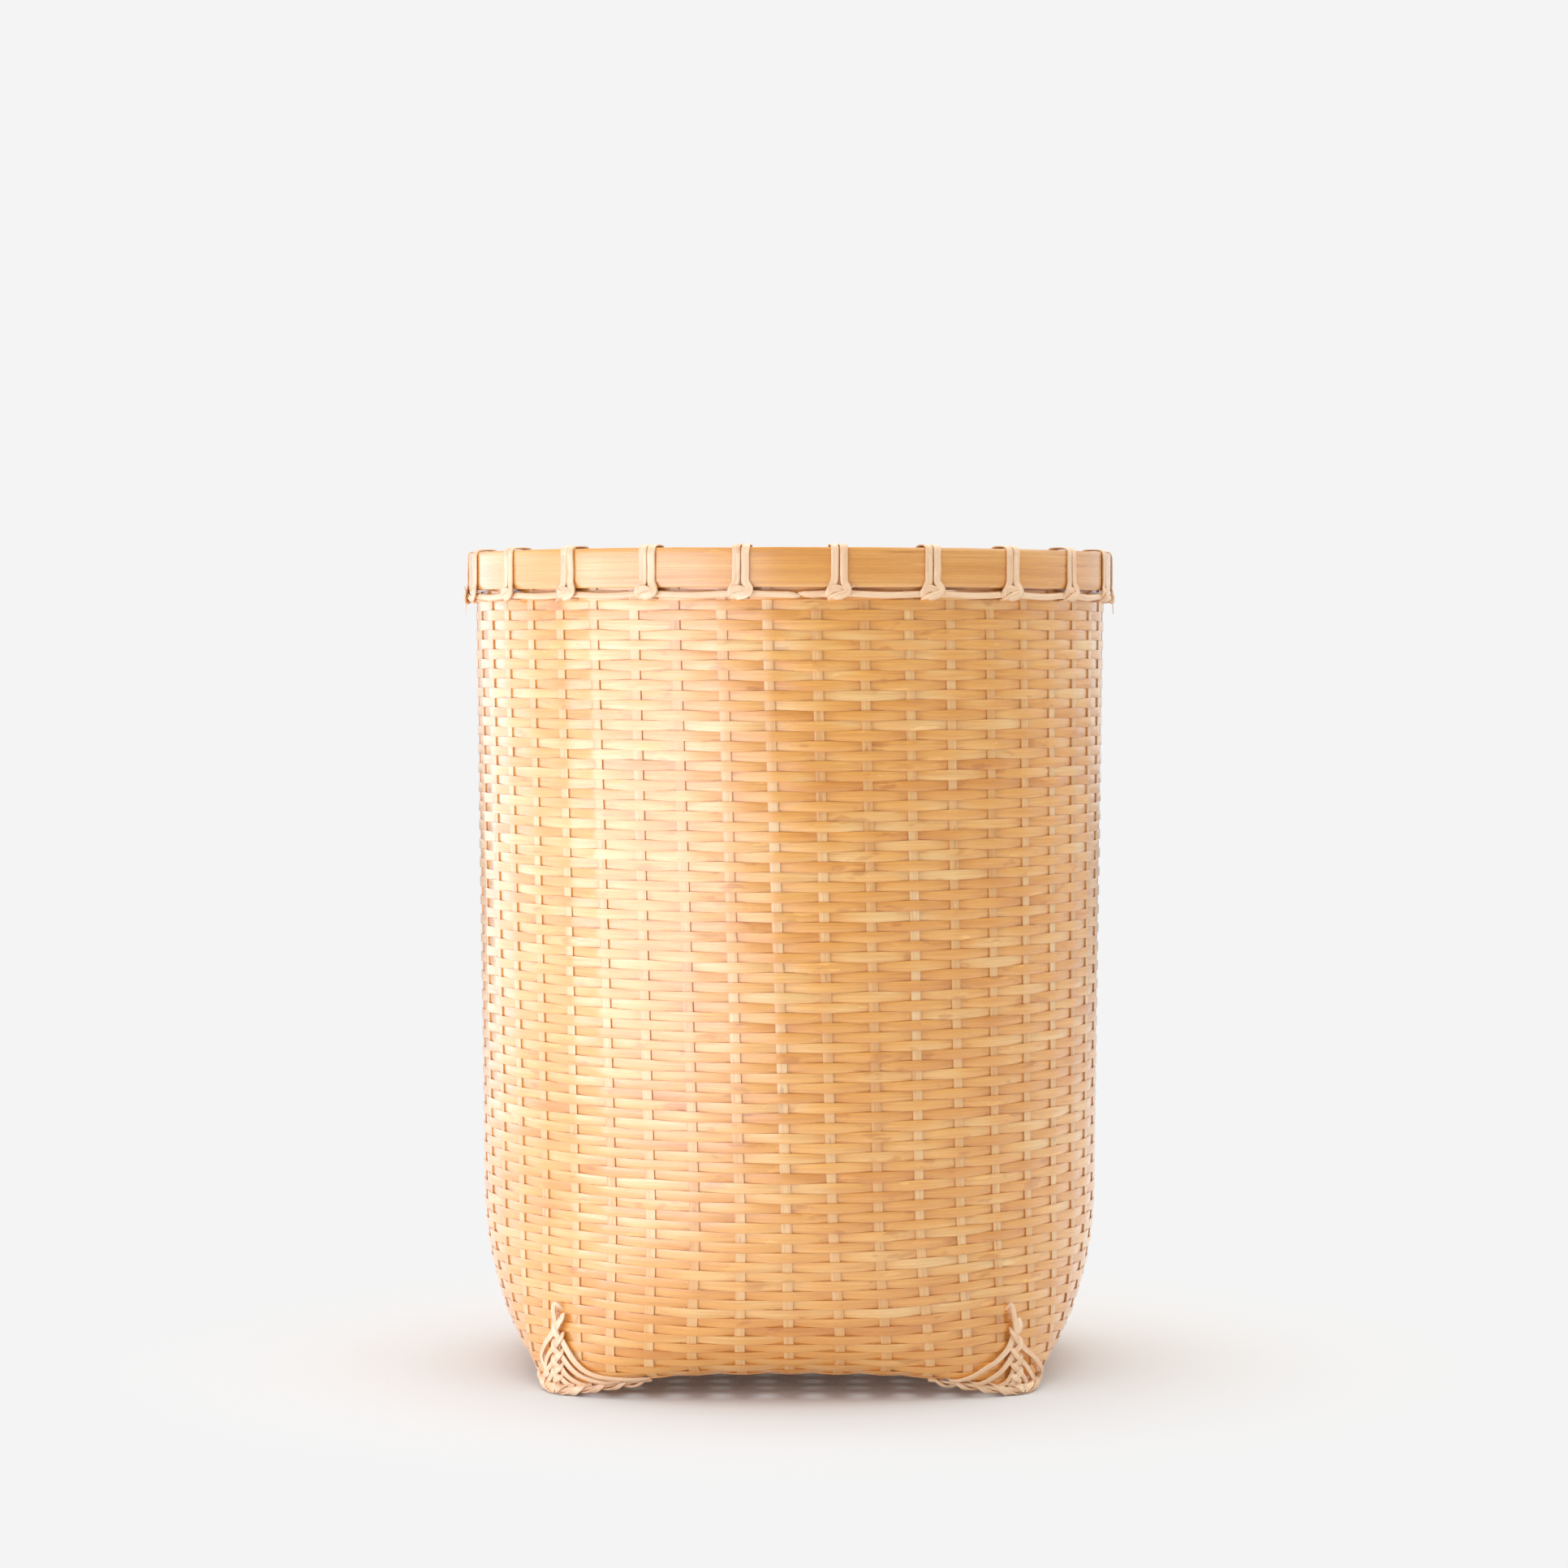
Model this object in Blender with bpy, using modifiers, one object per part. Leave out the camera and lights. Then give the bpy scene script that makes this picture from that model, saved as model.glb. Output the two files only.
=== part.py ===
"""A woven bamboo waste basket with a round mouth, a square base and four plaited corner feet.

Metres, +Z up. The origin is on the floor under the middle of the basket, and the front looks along -Y.
"""
import math

import bmesh
import bpy
from mathutils import Matrix, Vector

# Outline of the wall, measured over the outer faces of the stakes
MOUTH_RADIUS = 0.1263
WAIST_RADIUS = 0.1235  # where the round wall starts to square off
WAIST_HEIGHT = 0.074
NECK_DROP = 0.021  # from the rim down to where the flare ends
FLARE_POWER = 1.2
BASE_HALF_WIDTH = 0.0965
BASE_SQUARENESS = 8.23  # exponent of the base's outline: 2 is a circle, more is squarer
BASE_HEIGHT = 0.0090  # of the base's edge in the middle of a side
CORNER_HEIGHT = 0.0028  # of the base at its corners
BASE_DOME = 0.003  # rise of the middle of the base

# Clearance between touching pieces
GAP = 0.0003

# Bamboo strips: flat and wide in the base, narrow stakes in the wall
STRIPS_EACH_SIDE = 5  # of the middle strip, so eleven run each way
OUTER_STRIP_INSET = 0.0083  # of the outermost strips' middles from the base's corners, sideways
STRIP_CROWDING = 0.114  # how much closer than the average they lie towards the edge
STRIP_SPACING = 0.004  # between strips in the base
CORNER_STRIP_WIDTH = 0.0055  # of an outermost strip where it turns up at the base's edge
EDGE_TAPER = 0.0025  # length over which a strip leaves its last crossing
STAKE_WIDTH = 0.004
STRIP_THICKNESS = 0.001
STAKE_LEAN = 0.5  # of the space between two stakes, from base to rim
STAKE_TRIM = 0.001  # below the top of the hoops

# Fabric of the wall
WALL_THICKNESS = 0.0016
WALL_START = 0.18  # share of the first turn below the wall's lower edge, in the middle of a side
WALL_CORNER_START = 1.0  # and at a corner, where the strips crowd

# Rim
RIM_HEIGHT = 0.324
HOOP_HEIGHT = 0.015
HOOP_THICKNESS = 0.0021
STRAND_THICKNESS = 0.0026
STRAND_DROP = 0.0025  # of the strand's middle under the outer hoop
STRAND_SAG = 0.0004
STRAND_CLEARANCE = 0.0004  # over the stakes, for the flats of the strand

# Lashings
LASHING_WIDTH = 0.006
LASHING_THICKNESS = 0.0011
LASHING_OUTER_CORNER = 0.0014
LASHING_INNER_CORNER = 0.0004
STAKES_PER_LASHING = 2
HOLE_REACH = 4  # thicknesses of the wall

# Corner feet
FOOT_SPINE_LEVEL = 0.6
FOOT_SPINE_SHARES = (0.3, 0.6, 1.0)
FOOT_SPINE_RADIUS = 0.0017
FOOT_EDGE_LENGTH = 0.036
FOOT_EDGE_RADIUS = 0.0015
FOOT_EDGE_SHARES = (1.0, 0.7, 0.42, 0.22, 0.08, 0.0)  # closer where the corner bends
FOOT_STRAND_RADIUS = 0.0012
FOOT_STRAND_LEVELS = (0.46, 0.37, 0.27)
FOOT_STRAND_REACHES = (0.75, 0.5, 0.25)  # shares of the edge strand's length
FOOT_STRAND_STEPS = 7
FOOT_STRAND_CURVE = 1.4
FOOT_CLEARANCE = 0.001  # over the stakes that the strands cross

# Levels of the wall: 0 is the base's edge, 1 the waist, 2 the top
TURN_LEVELS = (0.0, 0.2, 0.4, 0.65, 1.0)
RING_STEPS = 88
WALL_CORNER_SHARE = 0.25  # of the space between stakes: the wall's corners lie this far from each
SMOOTH_ANGLE = 0.6
MERGE_DISTANCE = 0.000005
SLOPE_STEP = 0.01  # of an angle or a level, where a slope is measured
BASE_SLOPE_STEP = 0.0001

STAKES = 4 * (2 * STRIPS_EACH_SIDE + 1)
STAKE_ANGLE = math.tau / STAKES
STAKE_TOP = RIM_HEIGHT - STAKE_TRIM
NECK_HEIGHT = RIM_HEIGHT - NECK_DROP
BASE_CORNER_RADIUS = BASE_HALF_WIDTH * 2 ** (0.5 - 1 / BASE_SQUARENESS)
OUTER_STRIP_OFFSET = BASE_CORNER_RADIUS / math.sqrt(2) - OUTER_STRIP_INSET
NECK_LEVEL = 1 + (NECK_HEIGHT - WAIST_HEIGHT) / (STAKE_TOP - WAIST_HEIGHT)
WALL_LEVELS = TURN_LEVELS + (1 + (NECK_LEVEL - 1) / 2, NECK_LEVEL, 2.0)
FRONT, RIGHT, BACK, LEFT = -math.pi / 2, 0.0, math.pi / 2, math.pi

HOOP_BOTTOM = RIM_HEIGHT - HOOP_HEIGHT
OUTER_HOOP_INSIDE = MOUTH_RADIUS + GAP
OUTER_HOOP_OUTSIDE = OUTER_HOOP_INSIDE + HOOP_THICKNESS
WALL_OFFSET = STRIP_THICKNESS + GAP
WEAVE_LIFT = (STRIP_THICKNESS + GAP) / 2  # of a strip that crosses over another
INNER_HOOP_OUTSIDE = MOUTH_RADIUS - WALL_OFFSET - WALL_THICKNESS - GAP
INNER_HOOP_INSIDE = INNER_HOOP_OUTSIDE - HOOP_THICKNESS
STRAND_RADIUS = MOUTH_RADIUS + STRAND_CLEARANCE + STRAND_THICKNESS / 2
STRAND_HEIGHT = HOOP_BOTTOM - STRAND_DROP
LASHING_HEIGHT = STRAND_HEIGHT - STRAND_THICKNESS / 2 - GAP - LASHING_THICKNESS / 2


def clear_scene():
    for item in list(bpy.data.objects):
        bpy.data.objects.remove(item, do_unlink=True)


def new_collection(name):
    collection = bpy.data.collections.new(name)
    bpy.context.scene.collection.children.link(collection)
    return collection


def finish(name, colour, roughness):
    material = bpy.data.materials.new(name)
    material.use_nodes = True
    shader = material.node_tree.nodes["Principled BSDF"]
    shader.inputs["Base Color"].default_value = (*colour, 1.0)
    shader.inputs["Roughness"].default_value = roughness
    shader.inputs["Metallic"].default_value = 0.0
    return material


def add_piece(name, mesh, collection, material):
    piece = bpy.data.objects.new(name, mesh)
    collection.objects.link(piece)
    if not mesh.materials:
        mesh.materials.append(material)
    mesh.shade_smooth()
    mesh.set_sharp_from_angle(angle=SMOOTH_ANGLE)
    return piece


def ring_exponent(half_width, corner_radius):
    """Exponent of the superellipse that is half_width wide and reaches corner_radius at 45 degrees."""
    return 1 / (0.5 - math.log2(corner_radius / half_width))


def ring_radius(angle, half_width, corner_radius):
    power = ring_exponent(half_width, corner_radius)
    total = abs(math.cos(angle)) ** power + abs(math.sin(angle)) ** power
    return half_width / total ** (1 / power)


def side_profile(level):
    """Half width in the middle of a side, radius at a corner, and height in the middle of a side."""
    if level < 1:
        turn = level * math.pi / 2
        half_width = BASE_HALF_WIDTH + (WAIST_RADIUS - BASE_HALF_WIDTH) * math.sin(turn)
        corner_radius = BASE_CORNER_RADIUS + (WAIST_RADIUS - BASE_CORNER_RADIUS) * (1 - math.cos(turn))
        height = BASE_HEIGHT + (WAIST_HEIGHT - BASE_HEIGHT) * (1 - math.cos(turn))
        return half_width, corner_radius, height
    height = WAIST_HEIGHT + (level - 1) * (STAKE_TOP - WAIST_HEIGHT)
    flare = min(1.0, (height - WAIST_HEIGHT) / (NECK_HEIGHT - WAIST_HEIGHT))
    radius = WAIST_RADIUS + (MOUTH_RADIUS - WAIST_RADIUS) * flare ** FLARE_POWER
    return radius, radius, height


def corner_drop(x, y):
    """How far the base sinks towards its corners."""
    share = min(1.0, 2 * abs(x * y) / BASE_CORNER_RADIUS ** 2)
    return (BASE_HEIGHT - CORNER_HEIGHT) * share ** 3


def outer_point(angle, level):
    """Point on the outer face of the stakes."""
    half_width, corner_radius, height = side_profile(level)
    radius = ring_radius(angle, half_width, corner_radius)
    if level < 1:
        base_radius = ring_radius(angle, BASE_HALF_WIDTH, BASE_CORNER_RADIUS)
        drop = corner_drop(base_radius * math.cos(angle), base_radius * math.sin(angle))
        height -= drop * math.cos(level * math.pi / 2) ** 2
    return Vector((radius * math.cos(angle), radius * math.sin(angle), height))


def outer_normal(angle, level):
    level = min(max(level, SLOPE_STEP), 2 - SLOPE_STEP)
    round_way = outer_point(angle + SLOPE_STEP, level) - outer_point(angle - SLOPE_STEP, level)
    up_way = outer_point(angle, level + SLOPE_STEP) - outer_point(angle, level - SLOPE_STEP)
    return round_way.cross(up_way).normalized()


def raised_point(angle, level, distance):
    """Point at a distance outside the outer face of the stakes, or inside it when negative."""
    return outer_point(angle, level) + outer_normal(angle, level) * distance


def strip_offset(index):
    """Distance of a base strip from the middle one."""
    share = abs(index) / STRIPS_EACH_SIDE
    return math.copysign(OUTER_STRIP_OFFSET * share * (1 + STRIP_CROWDING * (1 - share)), index)


def strip_width(index):
    """Width of a strip in the base, where it fills its share of it but for the spacing."""
    share = abs(index) / STRIPS_EACH_SIDE
    pitch = OUTER_STRIP_OFFSET / STRIPS_EACH_SIDE * (1 + STRIP_CROWDING * (1 - 2 * share))
    return pitch - STRIP_SPACING


def edge_distance(offset):
    """Distance of the base's edge from the middle, at an offset along it."""
    share = abs(offset) / BASE_HALF_WIDTH
    return BASE_HALF_WIDTH * (1 - share ** BASE_SQUARENESS) ** (1 / BASE_SQUARENESS)


def stake_angle(side, index, level):
    """Angle of a stake round the basket: even spacing at the waist, the strips' spacing in the base."""
    offset = strip_offset(index)
    base_angle = math.atan2(offset, edge_distance(offset))
    blend = min(1.0, max(0.0, level))
    blend = blend * blend * (3 - 2 * blend)
    height = side_profile(level)[2]
    lean = STAKE_LEAN * STAKE_ANGLE * (height - BASE_HEIGHT) / (STAKE_TOP - BASE_HEIGHT)
    return side + base_angle + (index * STAKE_ANGLE - base_angle) * blend - lean


def base_height(x, y):
    """Height of the base's lower face before the strips weave."""
    share = (1 - (x / BASE_HALF_WIDTH) ** 2) * (1 - (y / BASE_HALF_WIDTH) ** 2)
    return BASE_HEIGHT + BASE_DOME * max(0.0, share) - corner_drop(x, y)


def base_normal(x, y):
    """Downward normal of the base."""
    step = BASE_SLOPE_STEP
    slope_x = (base_height(x + step, y) - base_height(x - step, y)) / (2 * step)
    slope_y = (base_height(x, y + step) - base_height(x, y - step)) / (2 * step)
    return Vector((slope_x, slope_y, -1)).normalized()


def edge_width(index):
    """Width of a strip at the base's edge: the outer ones narrow more, where the corner crowds them."""
    narrowing = strip_width(STRIPS_EACH_SIDE) - CORNER_STRIP_WIDTH
    return strip_width(STRIPS_EACH_SIDE) - narrowing * (index / STRIPS_EACH_SIDE) ** 2


def stake_sections(side, index):
    """Cross-sections of a stake from its top to the base's edge: middle, outward normal and width."""
    sections = []
    for level in reversed(WALL_LEVELS):
        angle = stake_angle(side, index, level)
        normal = outer_normal(angle, level)
        width = STAKE_WIDTH
        if level < TURN_LEVELS[1]:
            width = edge_width(index)
        sections.append((raised_point(angle, level, -STRIP_THICKNESS / 2), normal, width))
    return sections


def base_sections(along_x, index):
    """Cross-sections of a strip in the base, where it goes over and under the strips that cross it."""
    offset = strip_offset(index)
    end = strip_offset(STRIPS_EACH_SIDE) + strip_width(STRIPS_EACH_SIDE) / 2 + EDGE_TAPER
    runs = [(-end, 0, edge_width(index))]
    for crossing in range(-STRIPS_EACH_SIDE, STRIPS_EACH_SIDE + 1):
        over = (index + crossing + along_x) % 2 == 0
        lift = WEAVE_LIFT if over else -WEAVE_LIFT
        for way in (-1, 1):
            runs.append((strip_offset(crossing) + way * strip_width(crossing) / 2, lift, strip_width(index)))
    runs.append((end, 0, edge_width(index)))
    sections = []
    for run, lift, width in runs:
        x, y = (run, offset) if along_x else (offset, run)
        normal = base_normal(x, y)
        middle = Vector((x, y, base_height(x, y))) - normal * (STRIP_THICKNESS / 2 + lift)
        sections.append((middle, normal, width))
    return sections


def loft_strip(name, sections):
    """Flat strip through the cross-sections."""
    mesh = bpy.data.meshes.new(name)
    shape = bmesh.new()
    rings = []
    last = len(sections) - 1
    for place, (middle, normal, width) in enumerate(sections):
        before = sections[max(0, place - 1)][0]
        after = sections[min(last, place + 1)][0]
        across = (after - before).cross(normal).normalized() * width / 2
        out = normal * STRIP_THICKNESS / 2
        corners = (across + out, out - across, -across - out, across - out)
        rings.append([shape.verts.new(middle + corner) for corner in corners])
    for ring, following in zip(rings, rings[1:]):
        for side in range(4):
            beside = (side + 1) % 4
            shape.faces.new((ring[side], ring[beside], following[beside], following[side]))
    shape.faces.new(rings[0][::-1])
    shape.faces.new(rings[-1])
    bmesh.ops.recalc_face_normals(shape, faces=shape.faces)
    shape.to_mesh(mesh)
    shape.free()
    return mesh


def make_strips(collection, material):
    """Strips that cross in the base and rise as stakes on both sides of it."""
    for along_x, start, end, label in ((False, FRONT, BACK, "lengthwise"), (True, LEFT, RIGHT, "crosswise")):
        for index in range(-STRIPS_EACH_SIDE, STRIPS_EACH_SIDE + 1):
            start_index = -index if along_x else index
            end_index = index if along_x else -index
            sections = stake_sections(start, start_index)
            sections += base_sections(along_x, index)
            sections += reversed(stake_sections(end, end_index))
            name = f"{label}_strip_{index + STRIPS_EACH_SIDE + 1:02d}"
            add_piece(name, loft_strip(name, sections), collection, material)


def wall_point(side, index, way, level):
    """Point of the wall's outer face beside a stake. The lower edge sits on the strips as they turn up."""
    angle = stake_angle(side, index, level) + way * STAKE_ANGLE * WALL_CORNER_SHARE
    point = raised_point(angle, level, -WALL_OFFSET)
    if level > 0:
        return point
    edge = outer_point(angle, 0)
    share = corner_drop(edge.x, edge.y) / (BASE_HEIGHT - CORNER_HEIGHT)
    start = WALL_START + (WALL_CORNER_START - WALL_START) * share
    return point.lerp(wall_point(side, index, way, WALL_LEVELS[1]), start)


def make_wall(collection, cutters, material):
    """Woven wall as one closed sheet inside the stakes, with a hole for each lashing."""
    mesh = bpy.data.meshes.new("side_weave")
    shape = bmesh.new()
    rings = []
    for level in WALL_LEVELS:
        ring = []
        for side in (FRONT, RIGHT, BACK, LEFT):
            for index in range(-STRIPS_EACH_SIDE, STRIPS_EACH_SIDE + 1):
                ring += [shape.verts.new(wall_point(side, index, way, level)) for way in (-1, 1)]
        rings.append(ring)
    for ring, above in zip(rings, rings[1:]):
        for place, corner in enumerate(ring):
            beside = (place + 1) % len(ring)
            shape.faces.new((corner, ring[beside], above[beside], above[place]))
    shape.to_mesh(mesh)
    shape.free()
    wall = add_piece("side_weave", mesh, collection, material)
    thickness = wall.modifiers.new("Fabric thickness", "SOLIDIFY")
    thickness.thickness = WALL_THICKNESS
    thickness.offset = -1
    thickness.use_even_offset = False
    holes = wall.modifiers.new("Lashing holes", "BOOLEAN")
    holes.operation = "DIFFERENCE"
    holes.object = make_hole_cutter(cutters)


def lashing_angles():
    first = FRONT + STAKE_ANGLE
    return [first + STAKES_PER_LASHING * STAKE_ANGLE * place for place in range(STAKES // STAKES_PER_LASHING)]


def make_hole_cutter(cutters):
    mesh = bpy.data.meshes.new("lashing_holes")
    shape = bmesh.new()
    size = (HOLE_REACH * WALL_THICKNESS, LASHING_WIDTH + 2 * GAP, LASHING_THICKNESS + 2 * GAP, 1)
    middle = Vector((MOUTH_RADIUS - WALL_OFFSET, 0, LASHING_HEIGHT))
    for angle in lashing_angles():
        place = Matrix.Rotation(angle, 4, "Z") @ Matrix.Translation(middle) @ Matrix.Diagonal(size)
        bmesh.ops.create_cube(shape, size=1, matrix=place)
    shape.to_mesh(mesh)
    shape.free()
    cutter = bpy.data.objects.new("lashing_holes", mesh)
    cutters.objects.link(cutter)
    cutter.hide_render = True
    cutter.display_type = "WIRE"
    return cutter


def make_hoop(name, inside, outside, collection, material):
    """Flat band turned round the mouth."""
    mesh = bpy.data.meshes.new(name)
    corners = (
        (outside, 0, RIM_HEIGHT),
        (outside, 0, HOOP_BOTTOM),
        (inside, 0, HOOP_BOTTOM),
        (inside, 0, RIM_HEIGHT),
    )
    mesh.from_pydata(corners, ((0, 1), (1, 2), (2, 3), (3, 0)), ())
    hoop = add_piece(name, mesh, collection, material)
    turn = hoop.modifiers.new("Turn", "SCREW")
    turn.steps = RING_STEPS
    turn.render_steps = RING_STEPS
    turn.use_merge_vertices = True
    turn.merge_threshold = MERGE_DISTANCE


def curve_mesh(curve_object):
    """Mesh of a curve, with its caps joined, in place of the curve."""
    graph = bpy.context.evaluated_depsgraph_get()
    mesh = bpy.data.meshes.new_from_object(curve_object.evaluated_get(graph))
    mesh.transform(curve_object.matrix_world)
    shape = bmesh.new()
    shape.from_mesh(mesh)
    bmesh.ops.remove_doubles(shape, verts=shape.verts, dist=MERGE_DISTANCE)
    shape.to_mesh(mesh)
    shape.free()
    bpy.data.objects.remove(curve_object, do_unlink=True)
    return mesh


def tube_curve(name, points, radius, collection, sides_level, cyclic=False):
    data = bpy.data.curves.new(name, "CURVE")
    data.dimensions = "3D"
    data.bevel_depth = radius
    data.bevel_resolution = sides_level
    data.use_fill_caps = not cyclic
    spline = data.splines.new("POLY")
    spline.points.add(len(points) - 1)
    for knot, point in zip(spline.points, points):
        knot.co = (*point, 1)
    spline.use_cyclic_u = cyclic
    tube = bpy.data.objects.new(name, data)
    collection.objects.link(tube)
    return tube


def make_strand(collection, material):
    """Rattan strand under the outer hoop, which sags a little between the lashings."""
    points = []
    for step in range(RING_STEPS):
        angle = FRONT + math.tau * step / RING_STEPS
        sag = STRAND_SAG * math.cos((angle - FRONT) * STAKES / (2 * STAKES_PER_LASHING)) ** 2
        points.append((STRAND_RADIUS * math.cos(angle), STRAND_RADIUS * math.sin(angle), STRAND_HEIGHT - sag))
    strand = tube_curve("rim_strand", points, STRAND_THICKNESS / 2, collection, 0, cyclic=True)
    strand.data.materials.append(material)


def lashing_outline(inset, corner):
    """Points of a lashing's loop in the rim's section, its middle line moved inwards by inset."""
    outside = OUTER_HOOP_OUTSIDE + GAP + LASHING_THICKNESS / 2 - inset
    bulge = STRAND_RADIUS + STRAND_THICKNESS / 2 + GAP + LASHING_THICKNESS / 2 - inset
    inside = INNER_HOOP_INSIDE - GAP - LASHING_THICKNESS / 2 + inset
    top = RIM_HEIGHT + GAP + LASHING_THICKNESS / 2 - inset
    bottom = LASHING_HEIGHT + inset
    return (
        (outside - corner, top),
        (outside, top - corner),
        (outside, HOOP_BOTTOM + LASHING_OUTER_CORNER),
        (bulge, STRAND_HEIGHT + STRAND_THICKNESS / 2),
        (bulge, bottom + corner),
        (bulge - corner, bottom),
        (inside + corner, bottom),
        (inside, bottom + corner),
        (inside, top - corner),
        (inside + corner, top),
    )


def lashing_mesh(collection):
    """Flat rattan loop over the rim, standing in the XZ plane."""
    data = bpy.data.curves.new("lashing", "CURVE")
    data.dimensions = "2D"
    data.fill_mode = "BOTH"
    data.extrude = LASHING_WIDTH / 2
    half = LASHING_THICKNESS / 2
    for inset, corner in ((-half, LASHING_OUTER_CORNER), (half, LASHING_INNER_CORNER)):
        outline = lashing_outline(inset, corner)
        spline = data.splines.new("POLY")
        spline.points.add(len(outline) - 1)
        for knot, (x, y) in zip(spline.points, outline):
            knot.co = (x, y, 0, 1)
        spline.use_cyclic_u = True
    loop = bpy.data.objects.new("lashing", data)
    collection.objects.link(loop)
    loop.rotation_euler = (math.pi / 2, 0, 0)
    bpy.context.view_layer.update()
    return curve_mesh(loop)


def make_lashings(collection, material):
    mesh = lashing_mesh(collection)
    for number, angle in enumerate(lashing_angles(), 1):
        lashing = add_piece(f"rim_lashing_{number:02d}", mesh, collection, material)
        lashing.rotation_euler = (0, 0, angle)


def foot_paths():
    """Strands of the front right foot: points and radius of each."""
    corner = FRONT + math.pi / 4
    corner_offset = BASE_CORNER_RADIUS / math.sqrt(2)
    spine_lift = GAP + FOOT_SPINE_RADIUS
    edge_lift = FOOT_CLEARANCE + GAP + FOOT_EDGE_RADIUS
    strand_lift = FOOT_CLEARANCE + FOOT_STRAND_RADIUS

    def edge_turn(distance):
        """Turn from the corner to a point of the base's edge, at a distance along it."""
        offset = corner_offset - distance
        return math.pi / 4 - math.atan2(offset, edge_distance(offset))

    def edge_point(turn):
        """Point of the strand under the base's edge."""
        outwards = (outer_normal(corner + turn, 0) + Vector((0, 0, -1))).normalized()
        return outer_point(corner + turn, 0) + outwards * edge_lift

    spine = [edge_point(0)]
    spine += [raised_point(corner, FOOT_SPINE_LEVEL * share, spine_lift) for share in FOOT_SPINE_SHARES]
    turns = [edge_turn(FOOT_EDGE_LENGTH * share) for share in FOOT_EDGE_SHARES]
    edge = [edge_point(-turn) for turn in turns] + [edge_point(turn) for turn in turns[-2::-1]]
    paths = [(spine, FOOT_SPINE_RADIUS), (edge, FOOT_EDGE_RADIUS)]
    for level, reach in zip(FOOT_STRAND_LEVELS, FOOT_STRAND_REACHES):
        landing = edge_turn(FOOT_EDGE_LENGTH * reach)
        for way in (-1, 1):
            strand = [raised_point(corner, level, spine_lift)]
            for step in range(1, FOOT_STRAND_STEPS):
                share = step / FOOT_STRAND_STEPS
                rise = level * (1 - share) ** FOOT_STRAND_CURVE
                strand.append(raised_point(corner + way * landing * share, rise, strand_lift))
            strand.append(edge_point(way * landing))
            paths.append((strand, FOOT_STRAND_RADIUS))
    return paths


def make_feet(collection, cutters, material):
    """Plaited rattan wraps on the corners, cut flat where they stand."""
    parts = []
    for points, radius in foot_paths():
        mesh = curve_mesh(tube_curve("foot_part", points, radius, cutters, 1))
        part = bpy.data.objects.new("foot_part", mesh)
        cutters.objects.link(part)
        part.hide_render = True
        part.display_type = "WIRE"
        parts.append(part)
    size = 2 * FOOT_EDGE_LENGTH
    corner = BASE_CORNER_RADIUS / math.sqrt(2)
    bpy.ops.mesh.primitive_cube_add(size=size, location=(corner, -corner, -size / 2))
    floor = bpy.context.object
    floor.name = "floor_cut"
    floor.hide_render = True
    floor.display_type = "WIRE"
    first = parts[0]
    for part in parts[1:]:
        join = first.modifiers.new("Join", "BOOLEAN")
        join.operation = "UNION"
        join.object = part
    cut = first.modifiers.new("Floor", "BOOLEAN")
    cut.operation = "DIFFERENCE"
    cut.object = floor
    bpy.context.view_layer.update()
    graph = bpy.context.evaluated_depsgraph_get()
    mesh = bpy.data.meshes.new_from_object(first.evaluated_get(graph))
    for name, turn in (("front_right", 0), ("back_right", 1), ("back_left", 2), ("front_left", 3)):
        foot = add_piece(f"foot_wrap_{name}", mesh, collection, material)
        foot.rotation_euler = (0, 0, turn * math.pi / 2)
    for part in parts + [floor]:
        bpy.data.objects.remove(part, do_unlink=True)


def build():
    clear_scene()
    basket = new_collection("waste_basket")
    cutters = new_collection("cutters")
    stake_bamboo = finish("Bamboo stakes", (0.80, 0.60, 0.36), 0.5)
    weave_bamboo = finish("Bamboo weave", (0.78, 0.55, 0.30), 0.5)
    hoop_bamboo = finish("Bamboo hoops", (0.80, 0.58, 0.33), 0.45)
    rattan = finish("Rattan", (0.85, 0.70, 0.50), 0.55)
    make_strips(basket, stake_bamboo)
    make_wall(basket, cutters, weave_bamboo)
    make_hoop("rim_outer_hoop", OUTER_HOOP_INSIDE, OUTER_HOOP_OUTSIDE, basket, hoop_bamboo)
    make_hoop("rim_inner_hoop", INNER_HOOP_INSIDE, INNER_HOOP_OUTSIDE, basket, hoop_bamboo)
    make_strand(basket, rattan)
    make_lashings(basket, rattan)
    make_feet(basket, cutters, rattan)


build()
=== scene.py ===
import math

import bpy
import numpy as np
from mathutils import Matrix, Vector


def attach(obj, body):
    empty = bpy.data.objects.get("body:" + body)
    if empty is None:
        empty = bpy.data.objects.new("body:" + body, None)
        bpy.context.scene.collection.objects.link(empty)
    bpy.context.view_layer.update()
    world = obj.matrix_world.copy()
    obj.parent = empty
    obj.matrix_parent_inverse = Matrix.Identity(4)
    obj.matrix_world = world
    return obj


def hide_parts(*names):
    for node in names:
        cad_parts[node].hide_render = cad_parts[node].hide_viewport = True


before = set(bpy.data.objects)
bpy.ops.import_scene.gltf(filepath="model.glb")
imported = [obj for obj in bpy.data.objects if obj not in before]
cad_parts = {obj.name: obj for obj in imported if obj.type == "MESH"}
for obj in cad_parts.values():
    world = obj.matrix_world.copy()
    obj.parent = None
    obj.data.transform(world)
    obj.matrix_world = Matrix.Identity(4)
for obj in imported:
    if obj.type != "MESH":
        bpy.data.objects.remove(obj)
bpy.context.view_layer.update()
scene = bpy.context.scene
print("Frame loaded")

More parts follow.
